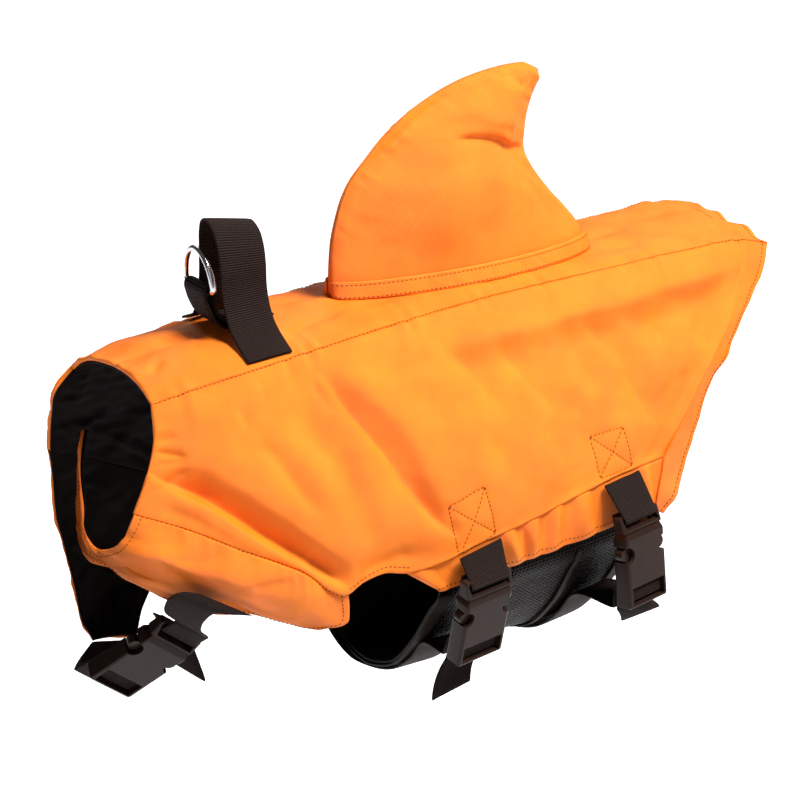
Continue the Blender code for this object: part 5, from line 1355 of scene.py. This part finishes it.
def chest_straps(buckle):
    """Sewn on the left flap, twisting down to the plug; and from the right flap to the socket."""
    edges = []
    ends = in_buckle(buckle, CHEST_PLUG_PATH)
    for lead, end, cut in zip((CHEST_HIGH, CHEST_LOW), ends, TAILS[buckle.name]):
        edges.append(tailed(joined(np.array(lead) * MM, end, 70), np.array(cut) * MM))
    strap("strap_chest_upper", edges)
    flap = flap_points(1, *lattice(np.linspace(0.9, 1, 4), np.linspace(0, 1, 9)))
    middle = flap - grid_normals(flap) * FLAP_PAD / 2
    edges = []
    for at, end in zip((0, -1), in_buckle(buckle, CHEST_SOCKET_PATH)):
        start = middle[-1, at] + unit(middle[-1, at] - middle[-2, at]) * 0.0012
        hung = start * 0.6 + end[0] * 0.4 + np.array([-0.002, 0.002, -0.003])
        edges.append(joined(np.stack([start, hung]), end, 50))
    strap("strap_chest_lower", edges)


# ---------------------------------------------------------------- ring and buckles
def arc(start, end, count, middle, reach):
    """Points y, z of an arc in degrees round its middle; reach is its half width and height."""
    turn = np.radians(np.linspace(start, end, count))
    return np.stack([middle[0] + reach[0] * np.cos(turn), middle[1] + reach[1] * np.sin(turn)], -1)


def lead_ring():
    """D-shaped ring: a circle carried along a straight bar and the arc above it."""
    corner, sides = RING_CORNER, 24
    straight_half = RING_HALF - corner
    bar = np.stack([np.linspace(-straight_half, straight_half, 12), np.zeros(12)], -1)
    bow = (RING_HALF / math.cos(math.radians(12)), RING_RISE)
    points = np.concatenate([bar, arc(-65, 20, 14, (straight_half, corner), (corner, corner)),
                             arc(20, 160, 56, (0, 0), bow),
                             arc(160, 245, 14, (-straight_half, corner), (corner, corner))])
    points = points[np.linalg.norm(points - np.roll(points, 1, 0), axis=1) > 1e-5]
    centre = np.stack([0 * points[:, 0], points[:, 0], points[:, 1]], -1)
    for _ in range(3):
        centre = (np.roll(centre, 1, 0) + 2 * centre + np.roll(centre, -1, 0)) / 4
    tangent = unit(np.roll(centre, -1, 0) - np.roll(centre, 1, 0))
    sideways = np.array([1.0, 0.0, 0.0])
    outward = np.cross(tangent, sideways)
    turn = np.arange(sides)[:, None] * 2 * math.pi / sides
    verts = centre[:, None] + RING_WIRE * (np.cos(turn) * sideways + np.sin(turn) * outward[:, None])
    index = np.arange(len(centre) * sides).reshape(len(centre), sides)
    ahead, beside = np.roll(index, -1, 0), np.roll(index, -1, 1)
    faces = quads(index, beside, np.roll(ahead, -1, 1), ahead).tolist()
    made = piece("lead_ring_steel", verts.reshape(-1, 3) + np.array(RING_BAR), faces, CHROME)
    dressed(made, "lead_ring", body="ring")


def buckle_half(buckle, half):
    """The moulded half with its flat faces whole again, its edges rounded, the socket's mouth drawn
    up to the plug's crossbar and the plug's posts lowered under the webbing."""
    node = "buckle_%s_%s" % (buckle.name, half)
    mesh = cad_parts[node].data.copy()
    shape = bmesh.new()
    shape.from_mesh(mesh)
    bmesh.ops.remove_doubles(shape, verts=shape.verts, dist=1e-5)
    bmesh.ops.dissolve_limit(shape, angle_limit=math.radians(1.0), verts=shape.verts, edges=shape.edges)
    place = Matrix.Translation(-Vector(CARRIED_AT)) @ buckle_frame(buckle)
    inward = place.inverted()
    for vert in shape.verts:
        own = inward @ vert.co
        if half == "socket" and own.y > MOUTH[0]:
            own.y += MOUTH[1] - MOUTH[0]
        if half == "plug" and own.y > POST_FROM:
            own.z = min(own.z, POST_TOP)
        vert.co = place @ own
    shape.to_mesh(mesh)
    shape.free()
    mesh.shade_smooth()
    mesh.materials.clear()
    mesh.materials.append(NYLON)
    made = linked(node + "_moulding", mesh)
    soft = made.modifiers.new("rounded_edges", "BEVEL")
    soft.width, soft.segments = 0.00045, 3
    soft.limit_method, soft.angle_limit = "ANGLE", math.radians(28)
    flat = made.modifiers.new("flat_faces", "WEIGHTED_NORMAL")
    flat.keep_sharp, flat.weight = False, 100
    dressed(made, node)


# ---------------------------------------------------------------- the whole jacket
for side, tag in SIDES:
    side_panel(side, tag)
back_panel()
back_lining()
for make in (side_lining, chest_flap, hem_strip):
    for side, tag in SIDES:
        make(side, tag)
flanges()
belly_net()
belly_tapes()
for side, tag in SIDES:
    fin_face(side, tag)
    fin_band(side, tag)
grab_handle()
ring_loop()
lead_ring()
for buckle in BUCKLES[:2]:
    upper_strap(buckle)
    lower_strap(buckle)
chest_straps(BUCKLES[2])
for buckle in BUCKLES:
    buckle_half(buckle, "socket")
    buckle_half(buckle, "plug")
dressed(stitching("shell_stitches", ORANGE_THREAD))

# each cut piece: width and length before sewing, the area of its shape, and what it lies against
Cut = namedtuple("Cut", "piece width length area held rests_on")


# ---------------------------------------------------------------- floor, light, camera
FLOOR_Z, FLOOR_REACH = -0.56, 9.0
# middle and reach of the floor's painted glow, which is dark at that spot
GLOW_MIDDLE, GLOW_RADIUS = (0.45, -1.0), 1.35


def stage_floor():
    """Pale floor with a painted glow: it gives off light of its own, less and less towards a spot in front
    of the jacket.
    """
    mesh = bpy.data.meshes.new("studio_floor")
    corners = [(x * FLOOR_REACH, y * FLOOR_REACH, FLOOR_Z)
               for x, y in ((-1, -1), (1, -1), (1, 1), (-1, 1))]
    mesh.from_pydata(corners, [], [(0, 1, 2, 3)])
    paint = Finish("pale_floor_painted_glow")
    rough = paint.spread(paint.noise(60.0), 0.85, 0.95)
    shrink = paint.node("Mapping", "Vector", [("Vector", paint.place)])
    middle = Vector((*GLOW_MIDDLE, FLOOR_Z))
    shrink[0].inputs["Location"].default_value = -middle / GLOW_RADIUS
    shrink[0].inputs["Scale"].default_value = [1 / GLOW_RADIUS] * 3
    around = paint.node("TexGradient", "Fac", [("Vector", shrink)], gradient_type="SPHERICAL")
    # painted glow: the floor's own emitted light, none near the spot and full from one glow radius away
    glow = paint.node("MapRange", "Result", [("Value", around)], From_Max=0.6, To_Min=0.95, To_Max=0.0)
    mesh.materials.append(paint.done({"Roughness": rough, "Emission Strength": glow},
                                     Base_Color=(0.62, 0.62, 0.62, 1), Emission_Color=(1, 1, 1, 1)))
    linked("studio_floor", mesh)


def soft_light(name, place, target, size, power):
    data = bpy.data.lights.new(name, "AREA")
    data.size, data.energy = size, power
    made = linked(name, data)
    made.location = place
    made.rotation_euler = (Vector(target) - Vector(place)).to_track_quat("-Z", "Y").to_euler()


stage_floor()
soft_light("key_light", (0.62, -0.95, 1.58), (0, 0, -0.05), 0.6, 100)
soft_light("fill_light", (-1.5, -1.3, 0.7), (0, 0, -0.05), 1.2, 2.5)
soft_light("rear_light", (0.7, 1.5, 1.2), (0, 0, 0), 1.2, 9)
world = bpy.data.worlds.new("studio_air")
world.use_nodes = True
world.node_tree.nodes["Background"].inputs["Color"].default_value = (1, 1, 1, 1)
world.node_tree.nodes["Background"].inputs["Strength"].default_value = 0.07
bpy.context.scene.world = world

LOOK = Vector((0.46549081, 0.80443896, -0.36904777))
RIGHT = Vector((0.84998001, -0.52254654, -0.06692604))
UP = Vector((0.24668255, 0.28252977, 0.92699765))
VIEWPOINT = Vector((-0.45182319, -1.06958754, 0.43328763))
lens = bpy.data.cameras.new("camera")
lens.lens, lens.sensor_width, lens.clip_start = 108, 36, 0.05
camera = linked("camera", lens)
placed = Matrix((RIGHT, UP, -LOOK)).transposed().to_4x4()
placed.translation = VIEWPOINT - Vector(CARRIED_AT)
camera.matrix_world = placed
bpy.context.scene.camera = camera
bpy.context.scene.view_settings.view_transform = "Standard"
